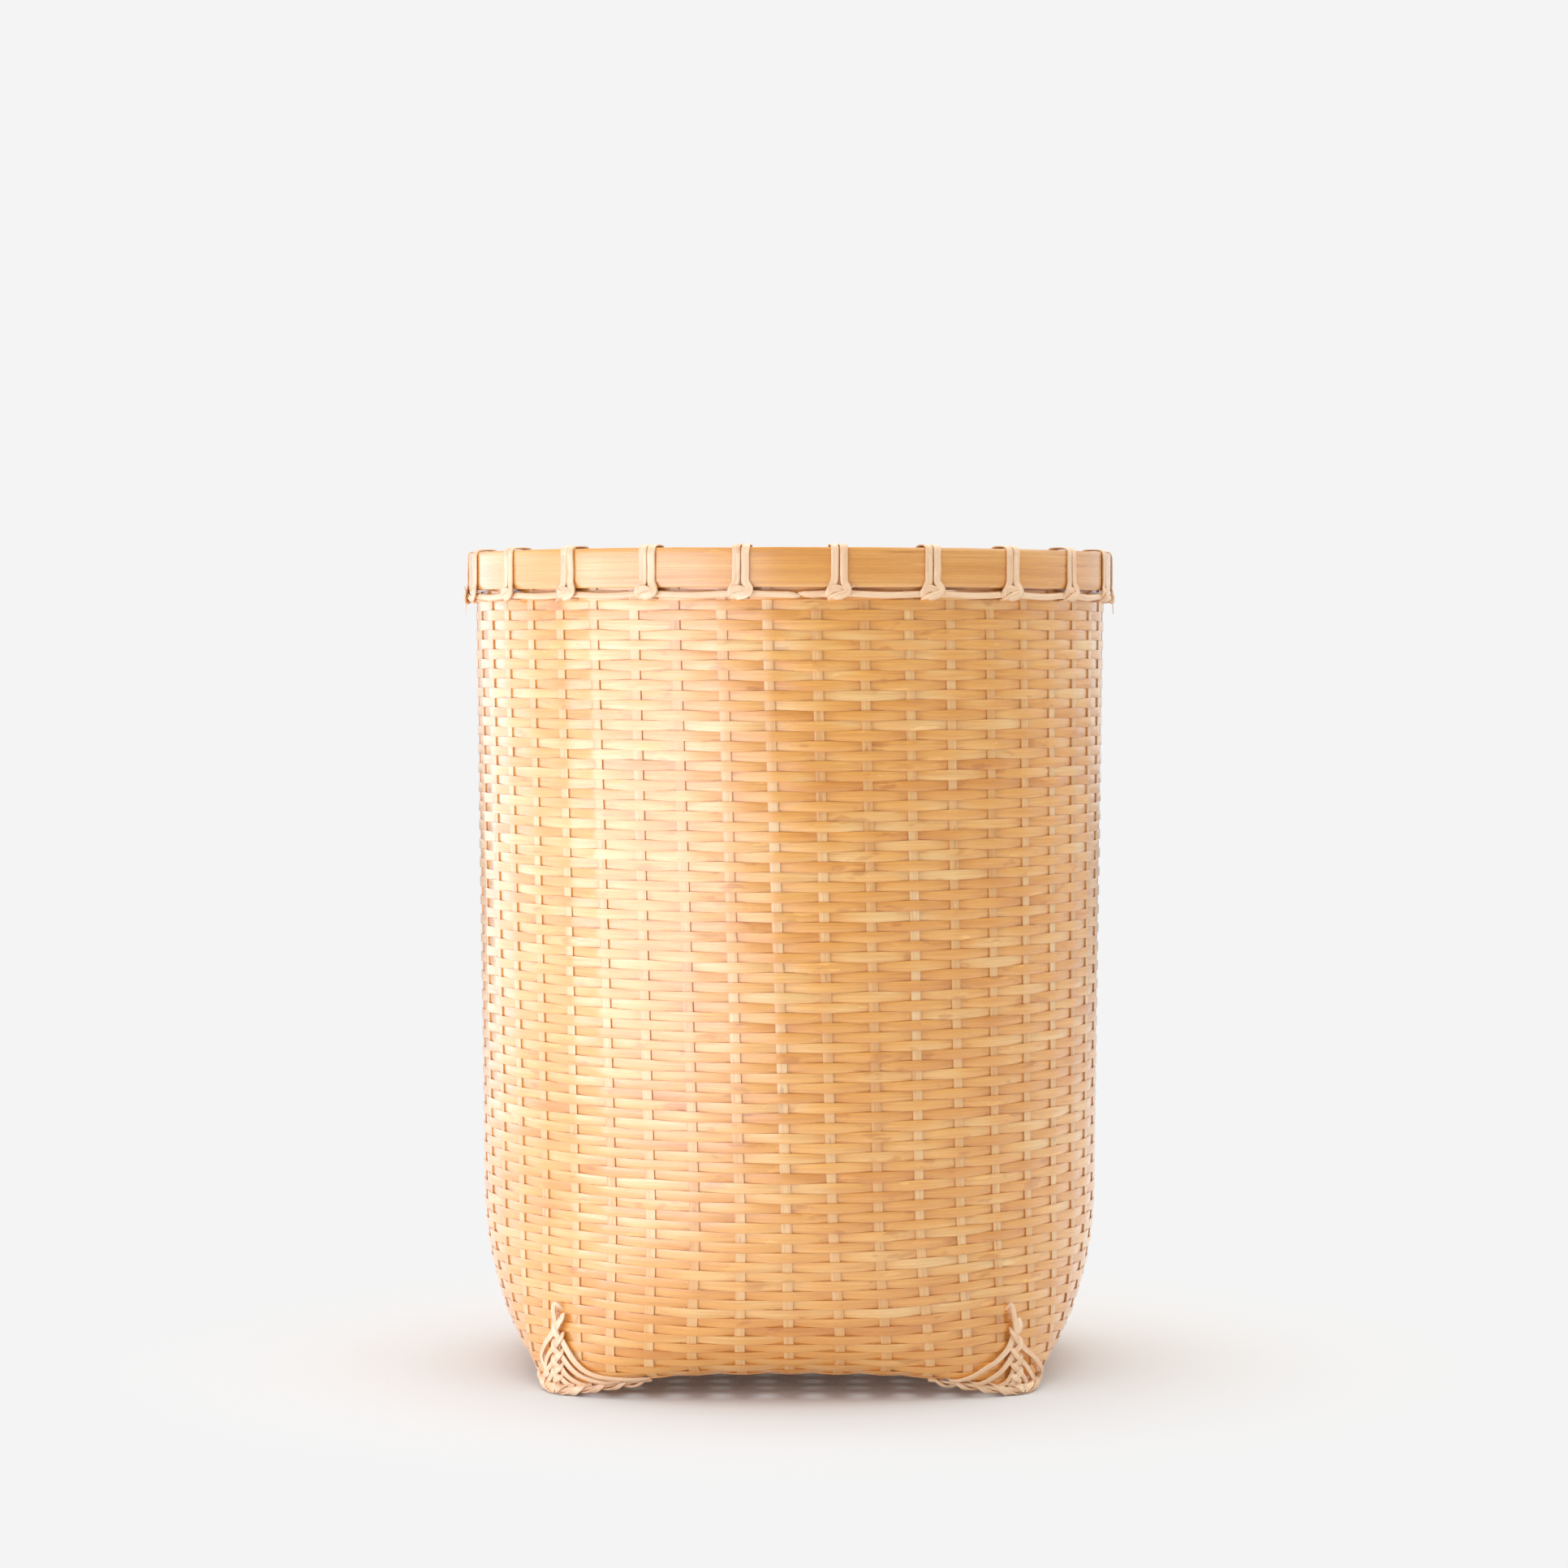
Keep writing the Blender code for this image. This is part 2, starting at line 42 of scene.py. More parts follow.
# Outline of the basket, in metres. The front looks along -Y.
outline = {
    "mouthRadius": 0.1263,
    "waistRadius": 0.1235,
    "waistHeight": 0.074,
    "neckHeight": 0.303,
    "flarePower": 1.2,
    "baseHalfWidth": 0.0965,
    "baseSquareness": 8.23,
    "baseHeight": 0.009,
    "cornerHeight": 0.0028,
    "baseDome": 0.003,
    "stakeTop": 0.323,
    "stripsEachSide": 5,
    "outerStripInset": 0.0083,
    "stripCrowding": 0.114,
    "stripSpacing": 0.004,
    "cornerStripWidth": 0.0055,
    "lean": 0.5,  # of a space between stakes, from base to rim
    "wander": 0.0028,  # radians that a stake strays from its place
}
front = -math.pi / 2
middleStrip = outline["stripsEachSide"]
stripCount = 2 * middleStrip + 1
stakeCount = 4 * stripCount
stakeAngle = math.tau / stakeCount
baseCornerRadius = outline["baseHalfWidth"] * 2 ** (0.5 - 1 / outline["baseSquareness"])
cornerOffset = baseCornerRadius / math.sqrt(2)
outerStripOffset = cornerOffset - outline["outerStripInset"]
slopeStep = 0.01
straightUp = np.array((0.0, 0, 1))


def smoothStep(share):
    share = np.clip(share, 0, 1)
    return share * share * (3 - 2 * share)


def ringRadius(angle, halfWidth, cornerRadius):
    power = 1 / (0.5 - np.log2(cornerRadius / halfWidth))
    total = np.abs(np.cos(angle)) ** power + np.abs(np.sin(angle)) ** power
    return halfWidth / total ** (1 / power)


def sideProfile(level):  # level 0 is the base's edge, 1 the waist, 2 the top
    bottom, waist, top = outline["baseHeight"], outline["waistHeight"], outline["stakeTop"]
    narrow, wide = outline["baseHalfWidth"], outline["waistRadius"]
    turn = np.clip(level, 0, 1) * math.pi / 2
    halfWidth = narrow + (wide - narrow) * np.sin(turn)
    cornerRadius = baseCornerRadius + (wide - baseCornerRadius) * (1 - np.cos(turn))
    height = bottom + (waist - bottom) * (1 - np.cos(turn))
    tall = waist + (np.maximum(level, 1) - 1) * (top - waist)
    flare = np.minimum(1, (tall - waist) / (outline["neckHeight"] - waist))
    radius = wide + (outline["mouthRadius"] - wide) * flare ** outline["flarePower"]
    upper = level >= 1
    return np.where(upper, radius, halfWidth), np.where(upper, radius, cornerRadius), np.where(upper, tall, height)


def cornerDrop(x, y):
    share = np.minimum(1, 2 * np.abs(x * y) / baseCornerRadius ** 2)
    return (outline["baseHeight"] - outline["cornerHeight"]) * share ** 3


def outerPoint(angle, level):
    angle, level = np.broadcast_arrays(np.asarray(angle, float), np.asarray(level, float))
    halfWidth, cornerRadius, height = sideProfile(level)
    radius = ringRadius(angle, halfWidth, cornerRadius)
    baseRadius = ringRadius(angle, outline["baseHalfWidth"], baseCornerRadius)
    drop = cornerDrop(baseRadius * np.cos(angle), baseRadius * np.sin(angle))
    height = height - drop * np.cos(np.clip(level, 0, 1) * math.pi / 2) ** 2
    return np.stack((radius * np.cos(angle), radius * np.sin(angle), height), -1)


def unit(vectors):
    return vectors / np.linalg.norm(vectors, axis=-1, keepdims=True)


def outwardsAt(angle):
    return np.stack((np.cos(angle), np.sin(angle), np.zeros_like(angle)), -1)


def outerNormal(angle, level):
    level = np.clip(level, slopeStep, 2 - slopeStep)
    roundWay = outerPoint(angle + slopeStep, level) - outerPoint(angle - slopeStep, level)
    upWay = outerPoint(angle, level + slopeStep) - outerPoint(angle, level - slopeStep)
    return unit(np.cross(roundWay, upWay))


def raisedPoint(angle, level, distance):
    distance = np.asarray(distance, float)[..., None]
    return outerPoint(angle, level) + outerNormal(angle, level) * distance


def stripOffset(index):
    share = np.abs(index) / middleStrip
    return np.sign(index) * outerStripOffset * share * (1 + outline["stripCrowding"] * (1 - share))


def stripWidth(index):
    share = np.abs(index) / middleStrip
    pitch = outerStripOffset / middleStrip * (1 + outline["stripCrowding"] * (1 - 2 * share))
    return pitch - outline["stripSpacing"]


def edgeDistance(offset):
    share = np.abs(offset) / outline["baseHalfWidth"]
    return outline["baseHalfWidth"] * (1 - share ** outline["baseSquareness"]) ** (1 / outline["baseSquareness"])


wanderPhases = np.random.default_rng(11).uniform(0, math.tau, (stakeCount, 3))
wanderSizes = np.random.default_rng(12).uniform(-1, 1, (stakeCount, 3))


def stakeWander(stake, level):  # a hand-made wall: each stake strays a little, and slowly
    phases, sizes = wanderPhases[stake % stakeCount], wanderSizes[stake % stakeCount]
    level = np.asarray(level, float)[..., None]
    swings = np.sin(level * np.array((0.0, 2.1, 4.3)) + phases) * sizes
    return outline["wander"] * swings.sum(-1) * np.clip(level[..., 0] * 2, 0, 1)


def stakePlace(stake, level):  # angle of a stake: the strips' spacing in the base, even spacing at the waist
    stake = np.asarray(stake, int)
    side = front + (stake // stripCount) * math.pi / 2
    index = stake % stripCount - middleStrip
    offset = stripOffset(index)
    baseAngle = np.arctan2(offset, edgeDistance(offset))
    blend = smoothStep(level)
    height = sideProfile(level)[2]
    rise = (height - outline["baseHeight"]) / (outline["stakeTop"] - outline["baseHeight"])
    lean = outline["lean"] * stakeAngle * rise
    return side + baseAngle + (index * stakeAngle - baseAngle) * blend - lean + stakeWander(stake, level)


def columnPlace(column, level):  # angle of any place between stakes
    low = np.floor(column).astype(int)
    share = column - low
    return stakePlace(low, level) * (1 - share) + stakePlace(low + 1, level) * share


# Strips: one ring and one rod are modelled, and every strip is a copy laid along its own path
def deselect():
    bpy.ops.object.select_all(action="DESELECT")


def readPlaces(mesh):
    places = np.zeros(len(mesh.vertices) * 3, np.float32)
    mesh.vertices.foreach_get("co", places)
    return places.reshape(-1, 3)


def selectEdges(piece, wanted):  # by the heights of their ends, in edit mode
    bpy.ops.object.mode_set(mode="EDIT")
    bpy.ops.mesh.select_mode(type="EDGE")
    bpy.ops.mesh.select_all(action="DESELECT")
    bpy.ops.object.mode_set(mode="OBJECT")
    for edge in piece.data.edges:
        edge.select = wanted(*(piece.data.vertices[corner].co.z for corner in edge.vertices))
    bpy.ops.object.mode_set(mode="EDIT")


def stripTemplate(stations, sides, closed):  # a straight rod, or for a ring one whose ends are bridged
    deselect()
    bpy.ops.mesh.primitive_cylinder_add(vertices=sides, radius=1, depth=2,
                                        end_fill_type="NOTHING" if closed else "NGON")
    rod = bpy.context.object
    selectEdges(rod, lambda low, high: abs(low - high) > 1)
    bpy.ops.mesh.subdivide_edgering(number_cuts=stations - 2, interpolation="LINEAR", smoothness=0)
    if closed:
        selectEdges(rod, lambda low, high: min(abs(low), abs(high)) > 0.9999)
        bpy.ops.mesh.bridge_edge_loops()
    bpy.ops.object.mode_set(mode="OBJECT")
    mesh = rod.data
    places = readPlaces(mesh)
    station = np.round((places[:, 2] + 1) / 2 * (stations - 1)).astype(int)
    turn = np.arctan2(places[:, 1], places[:, 0]) % math.tau
    side = np.round(turn / math.tau * sides).astype(int) % sides
    corners = np.zeros(len(mesh.loops), int)
    mesh.loops.foreach_get("vertex_index", corners)
    starts, totals = np.zeros((2, len(mesh.polygons)), int)
    mesh.polygons.foreach_get("loop_start", starts)
    mesh.polygons.foreach_get("loop_total", totals)
    owner = np.repeat(np.arange(len(totals)), totals)
    cornerStation, cornerSide = station[corners], side[corners]
    isSide = (totals == 4)[owner]
    for values, size, wraps in ((cornerSide, sides, True), (cornerStation, stations, closed)):
        high = np.maximum.reduceat(values, starts)[owner]
        values[isSide & wraps & (high == size - 1) & (values == 0) & (size > 2)] = size
    return {"piece": rod, "station": station, "side": side, "cornerStation": cornerStation,
            "cornerSide": cornerSide, "stations": stations, "sides": sides}


def lengthsAlong(points):
    return np.concatenate(([0], np.cumsum(np.linalg.norm(np.diff(points, axis=0), axis=1))))


def layStrip(template, centres, across, normals, widths, thicknesses, squareness, tone, start):
    piece = template["piece"].copy()
    piece.data = template["piece"].data.copy()
    scene.collection.objects.link(piece)
    mesh = piece.data
    station, side, sides = template["station"], template["side"], template["sides"]
    turn = (np.arange(sides + 1) + 0.5) * math.tau / sides
    flat = np.sign(np.cos(turn)) * np.abs(np.cos(turn)) ** squareness
    proud = np.sign(np.sin(turn)) * np.abs(np.sin(turn)) ** squareness
    widths = np.broadcast_to(widths, len(centres))
    thicknesses = np.broadcast_to(thicknesses, len(centres))
    places = centres[station] + across[station] * (widths[station] * flat[side] / 2)[:, None]
    places = places + normals[station] * (thicknesses[station] * proud[side] / 2)[:, None]
    mesh.vertices.foreach_set("co", places.astype(np.float32).ravel())
    lengths = lengthsAlong(np.vstack((centres, centres[:1]))) + start
    edges = np.stack((flat * widths.mean() / 2, proud * thicknesses.mean() / 2), 1)
    girth = lengthsAlong(edges) + start
    for layer in list(mesh.uv_layers):
        mesh.uv_layers.remove(layer)
    layer = mesh.uv_layers.new(name="strip")
    map2d = np.stack((lengths[template["cornerStation"]], girth[template["cornerSide"]]), 1)
    layer.data.foreach_set("uv", map2d.astype(np.float32).ravel())
    for kind, values in (("tone", np.full(len(station), tone)), ("acrossStrip", flat[side])):
        layer = mesh.attributes.new(kind, "FLOAT", "POINT")
        layer.data.foreach_set("value", values.astype(np.float32))
    mesh.update()
    return piece


def joinStrips(pieces, name, material, node, smoothAngle=None):
    deselect()
    for piece in pieces:
        piece.select_set(True)
    bpy.context.view_layer.objects.active = pieces[0]
    if len(pieces) > 1:
        bpy.ops.object.join()
    joined = bpy.context.object
    joined.name = name
    joined.data.name = name
    bpy.ops.object.mode_set(mode="EDIT")
    bpy.ops.mesh.select_all(action="SELECT")
    bpy.ops.mesh.normals_make_consistent(inside=False)
    bpy.ops.object.mode_set(mode="OBJECT")
    bpy.ops.object.shade_smooth()
    if smoothAngle:
        bpy.ops.object.shade_smooth_by_angle(angle=smoothAngle)
    joined.data.materials.clear()
    joined.data.materials.append(material)
    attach(joined, "root")
    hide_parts(node)
    deselect()


def dropTemplate(template):
    bpy.data.objects.remove(template["piece"], do_unlink=True)


def smoothPath(points, stations, closed=False):  # a curve through the points, at even steps of length
    points = np.asarray(points, float)
    if closed:
        padded = np.vstack((points[-1:], points, points[:2]))
    else:
        padded = np.vstack((2 * points[0] - points[1], points, 2 * points[-1] - points[-2]))
    share = np.linspace(0, 1, 16, endpoint=False)[:, None]
    fine = []
    for before, here, after, beyond in zip(padded, padded[1:], padded[2:], padded[3:]):
        fine.append(0.5 * (2 * here + (after - before) * share
                           + (2 * before - 5 * here + 4 * after - beyond) * share ** 2
                           + (3 * here - before - 3 * after + beyond) * share ** 3))
    fine = np.vstack(fine + [padded[-2:-1]])
    lengths = lengthsAlong(fine)
    wanted = np.linspace(0, lengths[-1], stations + 1 if closed else stations)
    if closed:
        wanted = wanted[:-1]
    return np.stack([np.interp(wanted, lengths, fine[:, axis]) for axis in range(3)], 1)


def pathFrames(centres, normals, closed=False):  # square the normals to the path, and give the way across it
    if closed:
        tangents = unit(np.roll(centres, -1, 0) - np.roll(centres, 1, 0))
    else:
        tangents = unit(np.gradient(centres, axis=0))
    across = unit(np.cross(tangents, normals))
    return across, unit(np.cross(across, tangents))


# Finishes
def addNode(tree, kind, place, **values):
    node = tree.nodes.new(kind)
    node.location = place
    for name, value in values.items():
        setattr(node, name, value)
    return node


def addRange(tree, place, source, target, **values):
    node = addNode(tree, "ShaderNodeMapRange", place, **values)
    node.inputs["From Min"].default_value, node.inputs["From Max"].default_value = source
    node.inputs["To Min"].default_value, node.inputs["To Max"].default_value = target
    return node


def newMaterial(name):
    material = bpy.data.materials.new(name)
    material.use_nodes = True
    tree = material.node_tree
    return material, tree, tree.links.new, tree.nodes["Principled BSDF"]


def stripFinish(name, look):
    material, tree, link, shader = newMaterial(name)
    for socket, value in (("Specular IOR Level", "specular"), ("Coat Weight", "coat"),
                          ("Coat Roughness", "coatRoughness")):
        shader.inputs[socket].default_value = look[value]
    uv = addNode(tree, "ShaderNodeUVMap", (-1500, 0), uv_map="strip")
    tone = addNode(tree, "ShaderNodeAttribute", (-1500, -300), attribute_name="tone")
    edge = addNode(tree, "ShaderNodeAttribute", (-1500, -600), attribute_name="acrossStrip")

    def strand(stretch, detail, place):  # noise that is long along the strip and fine across it
        mapping = addNode(tree, "ShaderNodeMapping", place)
        mapping.inputs["Scale"].default_value = (*stretch, 1)
        noise = addNode(tree, "ShaderNodeTexNoise", (place[0] + 180, place[1]), noise_dimensions="2D")
        noise.inputs["Scale"].default_value = 1
        noise.inputs["Detail"].default_value = detail
        link(uv.outputs["UV"], mapping.inputs["Vector"])
        link(mapping.outputs["Vector"], noise.inputs["Vector"])
        return noise.outputs["Fac"]

    def calculate(kind, first, second, place):
        node = addNode(tree, "ShaderNodeMath", place, operation=kind)
        for socket, value in zip(node.inputs, (first, second)):
            if isinstance(value, (int, float)):
                socket.default_value = value
            else:
                link(value, socket)
        return node.outputs[0]

    def ramp(value, source, target, place):
        node = addRange(tree, place, source, target)
        link(value, node.inputs["Value"])
        return node.outputs["Result"]

    slow = strand(look["slow"], 2, (-1250, 300))
    streaks = strand(look["streaks"], 3, (-1250, 0))
    fibres = strand(look["fibres"], 2, (-1250, -300))
    patches = strand(look["patches"], 3, (-1250, -900))
    mixed = calculate("ADD", ramp(tone.outputs["Fac"], (0, 1), (0, look["toneShare"]), (-900, -300)),
                      ramp(slow, look["grainRange"], (0, 1 - look["toneShare"]), (-900, 300)), (-700, 100))
    colours = addNode(tree, "ShaderNodeValToRGB", (-500, 200))
    stops = colours.color_ramp.elements
    stops[0].color = (*look["colours"][0], 1)
    stops[1].color = (*look["colours"][-1], 1)
    for place, colour in zip(look["colourPlaces"], look["colours"][1:3]):
        stop = stops.new(place)
        stop.color = (*colour, 1)
    link(mixed, colours.inputs["Fac"])

    def shadeBy(colour, share, place):
        mix = addNode(tree, "ShaderNodeMix", place, data_type="RGBA", blend_type="MULTIPLY")
        mix.inputs[0].default_value = 1
        link(colour, mix.inputs[6])
        combine = addNode(tree, "ShaderNodeCombineColor", (place[0] - 150, place[1] - 200))
        for channel, power in zip(("Red", "Green", "Blue"), look["darkPowers"]):
            link(calculate("POWER", share, power, (place[0] - 300, place[1] - 200)), combine.inputs[channel])
        link(combine.outputs[0], mix.inputs[7])
        return mix.outputs[2]

    fromMiddle = calculate("ABSOLUTE", edge.outputs["Fac"], 0, (-1250, -600))
    scuffs = strand(look["scuffs"], 4, (-1250, -1200))
    # the edge entry is painted shade: it darkens each strip towards its edges to stand in for the shade in the grooves
    # between strips, with a little darker burnish on the edges
    shades = ((fibres, "fibre", 1 + look["fibreShade"] / 3, 1 - look["fibreShade"]),
              (streaks, "grain", 1 + look["streakShade"] / 2, 1 - look["streakShade"]),
              (fromMiddle, "edge", 1, look["edgePaintedShade"]), (patches, "patch", 1, look["patchShade"]),
              (scuffs, "scuff", 1, look["scuffShade"]))
    colour = colours.outputs["Color"]
    for number, (value, kind, *ends) in enumerate(shades):
        share = ramp(value, look[kind + "Range"], ends, (-900, -300 * number))
        colour = shadeBy(colour, share, (-200 + 150 * number, 300))
    link(colour, shader.inputs["Base Color"])
    worn = ramp(scuffs, look["scuffRange"], (0, look["scuffRoughness"]), (-400, -350))
    grain = ramp(streaks, look["grainRange"], look["roughness"], (-400, -200))
    link(calculate("ADD", grain, worn, (-200, -200)), shader.inputs["Roughness"])
    bump = addNode(tree, "ShaderNodeBump", (-200, -500))
    bump.inputs["Strength"].default_value = look["bump"]
    bump.inputs["Distance"].default_value = look["bumpHeight"]
    halfStreaks = calculate("MULTIPLY", streaks, 0.5, (-600, -500))
    link(calculate("ADD", fibres, halfStreaks, (-450, -500)), bump.inputs["Height"])
    link(bump.outputs["Normal"], shader.inputs["Normal"])
    return material


weaveLook = {
    "colours": ((0.77, 0.305, 0.046), (0.87, 0.393, 0.074), (0.92, 0.455, 0.105), (0.96, 0.61, 0.245)),
    "colourPlaces": (0.3, 0.6),  # of the middle two
    "toneShare": 0.4,
    "slow": (22, 60),
    "streaks": (26, 900),
    "fibres": (45, 4200),
    "patches": (55, 160),
    "darkPowers": (0.6, 1.0, 1.5),  # a shade takes more blue than red
    # painted shade: how dark a strip gets at its edges, standing in for the shade in the grooves between strips, with
    # a little darker burnish
    "edgePaintedShade": 0.8,
    "fibreShade": 0.16,
    "streakShade": 0.12,
    "patchShade": 0.72,
    "edgeRange": (0.8, 0.96),  # from a strip's middle line to its edge, over which the painted shade of the grooves sets in
    "fibreRange": (0.35, 0.75),  # of the noise
    "grainRange": (0.3, 0.7),
    "patchRange": (0.66, 0.74),
    "scuffRange": (0.7, 0.74),
    "scuffs": (38, 210),
    "scuffShade": 1.22,
    "scuffRoughness": 0.3,
    "roughness": (0.18, 0.28),
    "specular": 1.0,
    "coat": 1.0,  # the skin of the bamboo
    "coatRoughness": 0.18,
    "bump": 0.35,
    "bumpHeight": 0.0002,
}
stakeLook = dict(weaveLook, colours=((0.77, 0.36, 0.095), (0.86, 0.46, 0.145), (0.91, 0.535, 0.205),
                                     (0.95, 0.65, 0.32)),
                 fibreShade=0.2, streaks=(18, 700), roughness=(0.3, 0.42))
hoopLook = dict(weaveLook, colours=((0.74, 0.31, 0.058), (0.82, 0.37, 0.08), (0.87, 0.42, 0.105), (0.92, 0.50, 0.165)),
                slow=(9, 90), streaks=(6, 500), fibres=(16, 3200), patches=(12, 300), edgePaintedShade=1,
                fibreShade=0.14, streakShade=0.16, roughness=(0.22, 0.34))
# the rattan's edges get the same painted shade, lighter than the bamboo's; the hoops get none
rattanLook = dict(weaveLook, colours=((0.91, 0.56, 0.31), (0.96, 0.62, 0.37), (0.98, 0.68, 0.42), (1, 0.75, 0.50)),
                  edgePaintedShade=0.88, patches=(90, 400), patchShade=0.86,
                  roughness=(0.46, 0.6), bump=0.5, coat=0.7, coatRoughness=0.32)
weaveMaterial = stripFinish("bambooWeave", weaveLook)
stakeMaterial = stripFinish("bambooStakes", stakeLook)
hoopMaterial = stripFinish("bambooHoops", hoopLook)
rattanMaterial = stripFinish("rattan", rattanLook)
print("Finishes made")

# Weave: rings of narrow strip that swing in and out past the stakes
weave = {
    "lowerCourses": 20,  # below the waist, closer at the corners
    "upperCourses": 65,
    "pitch": 0.003777,
    "stationsPerStake": 6,
    "sides": 8,
    "thickness": 0.0005,
    "depth": 0.00105,  # of the stakes' middle inside the outline
    "baseDepth": 0.0005,  # of the strips' middle in the base
    "depthBlend": 0.25,  # levels over which one becomes the other
    "swing": 0.00058,
    "crease": 0.93,  # 1 would fold a strip sharply over each stake, 0 bend it evenly
    "fill": 0.99,  # of a course's height
    "spread": (0.03, 0.09),  # of a strip's width where it passes a stake, near the base and above the waist
    "spreadStart": 0.3,  # of the lower courses
    "unevenness": 0.05,  # of a course's height
    "sharedUnevenness": 0.08,
    "swingUnevenness": 0.05,
    "lowestPlace": 0.02,  # in courses
    "squareness": 0.2,
    "bands": 3,
}
angleSteps, shareSteps = 720, 200
tableLevels = np.linspace(0, 1, 101)
tableAngles = np.linspace(0, math.tau, angleSteps + 1)
tablePoints = outerPoint(tableAngles[:, None], tableLevels[None, :])
tableLengths = np.zeros(tablePoints.shape[:2])
tableLengths[:, 1:] = np.cumsum(np.linalg.norm(np.diff(tablePoints, axis=1), axis=2), axis=1)
tableLengths /= tableLengths[:, -1:]
tableShares = np.linspace(0, 1, shareSteps + 1)
shareLevels = np.stack([np.interp(tableShares, lengths, tableLevels) for lengths in tableLengths])


def courseLevel(course, column):  # level of a place that is so many courses up, on a column of the wall
    share = np.clip(course / weave["lowerCourses"], 0, 1)
    level = share
    for _ in range(3):
        angle = (columnPlace(column, level) % math.tau) / math.tau * angleSteps
        low, across = np.minimum(angle.astype(int), angleSteps - 1), share * shareSteps
        left = np.minimum(across.astype(int), shareSteps - 1)
        up, along = across - left, angle - low
        lower = shareLevels[low, left] * (1 - up) + shareLevels[low, left + 1] * up
        upper = shareLevels[low + 1, left] * (1 - up) + shareLevels[low + 1, left + 1] * up
        level = lower * (1 - along) + upper * along
    rise = np.maximum(course - weave["lowerCourses"], 0) * weave["pitch"]
    return np.where(course > weave["lowerCourses"], 1 + rise / (outline["stakeTop"] - outline["waistHeight"]), level)


def stripDepth(level):  # of the middle of a stake: the base's strips lie close to the outline
    return weave["baseDepth"] + (weave["depth"] - weave["baseDepth"]) * smoothStep(level / weave["depthBlend"])


def waves(column, seed, counts):
    chance = np.random.default_rng(seed)
    total = np.zeros_like(column)
    for count in counts:
        total += chance.uniform(-1, 1) * np.sin(column * count * math.tau / stakeCount + chance.uniform(0, math.tau))
    return total / math.sqrt(len(counts))


def makeWeave():
    courses = weave["lowerCourses"] + weave["upperCourses"]
    stations = stakeCount * weave["stationsPerStake"]
    template = stripTemplate(stations, weave["sides"], True)
    chance = np.random.default_rng(5)
    shared = waves(np.arange(stations) / weave["stationsPerStake"], 3, (1, 2, 3))
    bands = [[] for _ in range(weave["bands"])]
    column = np.arange(stations) / weave["stationsPerStake"] + stakeCount // 2
    lines = []
    for line in range(courses + 1):  # between the courses
        own = waves(column, 100 + line, (5, 9, 14, 22)) * weave["unevenness"]
        stray = (own + weave["sharedUnevenness"] * shared) * (0 < line < courses)
        lines.append(np.maximum(line + stray, weave["lowestPlace"]))
    for course in range(courses):
        bottom, top = lines[course], lines[course + 1]
        middle = (bottom + top) / 2
        swing = weave["swing"] * (1 + weave["swingUnevenness"] * waves(column, 500 + course, (4, 11)))
        bend = np.arcsin(weave["crease"] * np.cos(math.pi * (column + course))) / math.asin(weave["crease"])
        outwards = swing * bend
        edges = []
        for place in (bottom, top):
            level = courseLevel(place, column)
            edges.append(raisedPoint(columnPlace(column, level), level, outwards - stripDepth(level)))
        level = courseLevel(middle, column)
        normals = outerNormal(columnPlace(column, level), level)
        centres = (edges[0] + edges[1]) / 2
        upwards = edges[1] - edges[0]
        spread = np.interp(course / weave["lowerCourses"], (weave["spreadStart"], 1), weave["spread"])
        widths = np.linalg.norm(upwards, axis=1) * (weave["fill"] + spread * np.abs(bend))
        normals = pathFrames(centres, normals, closed=True)[1]
        piece = layStrip(template, centres, unit(upwards), normals, widths, weave["thickness"], weave["squareness"],
                         chance.uniform(0, 1), course * 1.37)
        bands[course * weave["bands"] // courses].append(piece)
    for number, pieces in enumerate(bands, 1):
        joinStrips(pieces, f"weave_band_{number}", weaveMaterial, "side_weave", math.radians(24))
    dropTemplate(template)


makeWeave()
print("Weave made")

# Strips of the base, which rise as stakes on both sides of it
strips = {
    "thickness": 0.00065,
    "stakeWidth": 0.004,
    "lift": 0.00065,  # of a strip that crosses over another
    "wallStations": 26,
    "turnStations": 22,
    "turnCrowding": 1.3,  # of those stations towards the base's edge
    "widthBlend": 0.06,  # levels over which a strip narrows to a stake
    "crossingStations": 5,
    "crossingShare": 0.96,  # of a crossed strip's width that has stations
    "crossingSag": 0.12,  # share of the lift that is lost at a crossing's ends
    "edgeTaper": 0.0025,  # length over which a strip leaves its last crossing
    "sides": 8,
    "squareness": 0.3,
}


def baseHeight(x, y):
    share = (1 - (x / outline["baseHalfWidth"]) ** 2) * (1 - (y / outline["baseHalfWidth"]) ** 2)
    return outline["baseHeight"] + outline["baseDome"] * np.maximum(0, share) - cornerDrop(x, y)


def baseNormal(x, y):
    step = 0.0001
    slopeX = (baseHeight(x + step, y) - baseHeight(x - step, y)) / (2 * step)
    slopeY = (baseHeight(x, y + step) - baseHeight(x, y - step)) / (2 * step)
    return unit(np.stack((slopeX, slopeY, -np.ones_like(slopeX)), -1))


def edgeWidth(index):
    widest = stripWidth(middleStrip)
    return widest - (widest - outline["cornerStripWidth"]) * (index / middleStrip) ** 2


def stakeSections(stake, index):  # from the top down to the base's edge
    high = np.linspace(2, 1, strips["wallStations"])
    low = np.linspace(1, 0, strips["turnStations"])[1:] ** strips["turnCrowding"]
    level = np.concatenate((high, low))
    angle = stakePlace(np.full(len(level), stake), level)
    widening = 1 - smoothStep(level / strips["widthBlend"])
    width = strips["stakeWidth"] + (edgeWidth(index) - strips["stakeWidth"]) * widening
    return raisedPoint(angle, level, -stripDepth(level)), outerNormal(angle, level), width


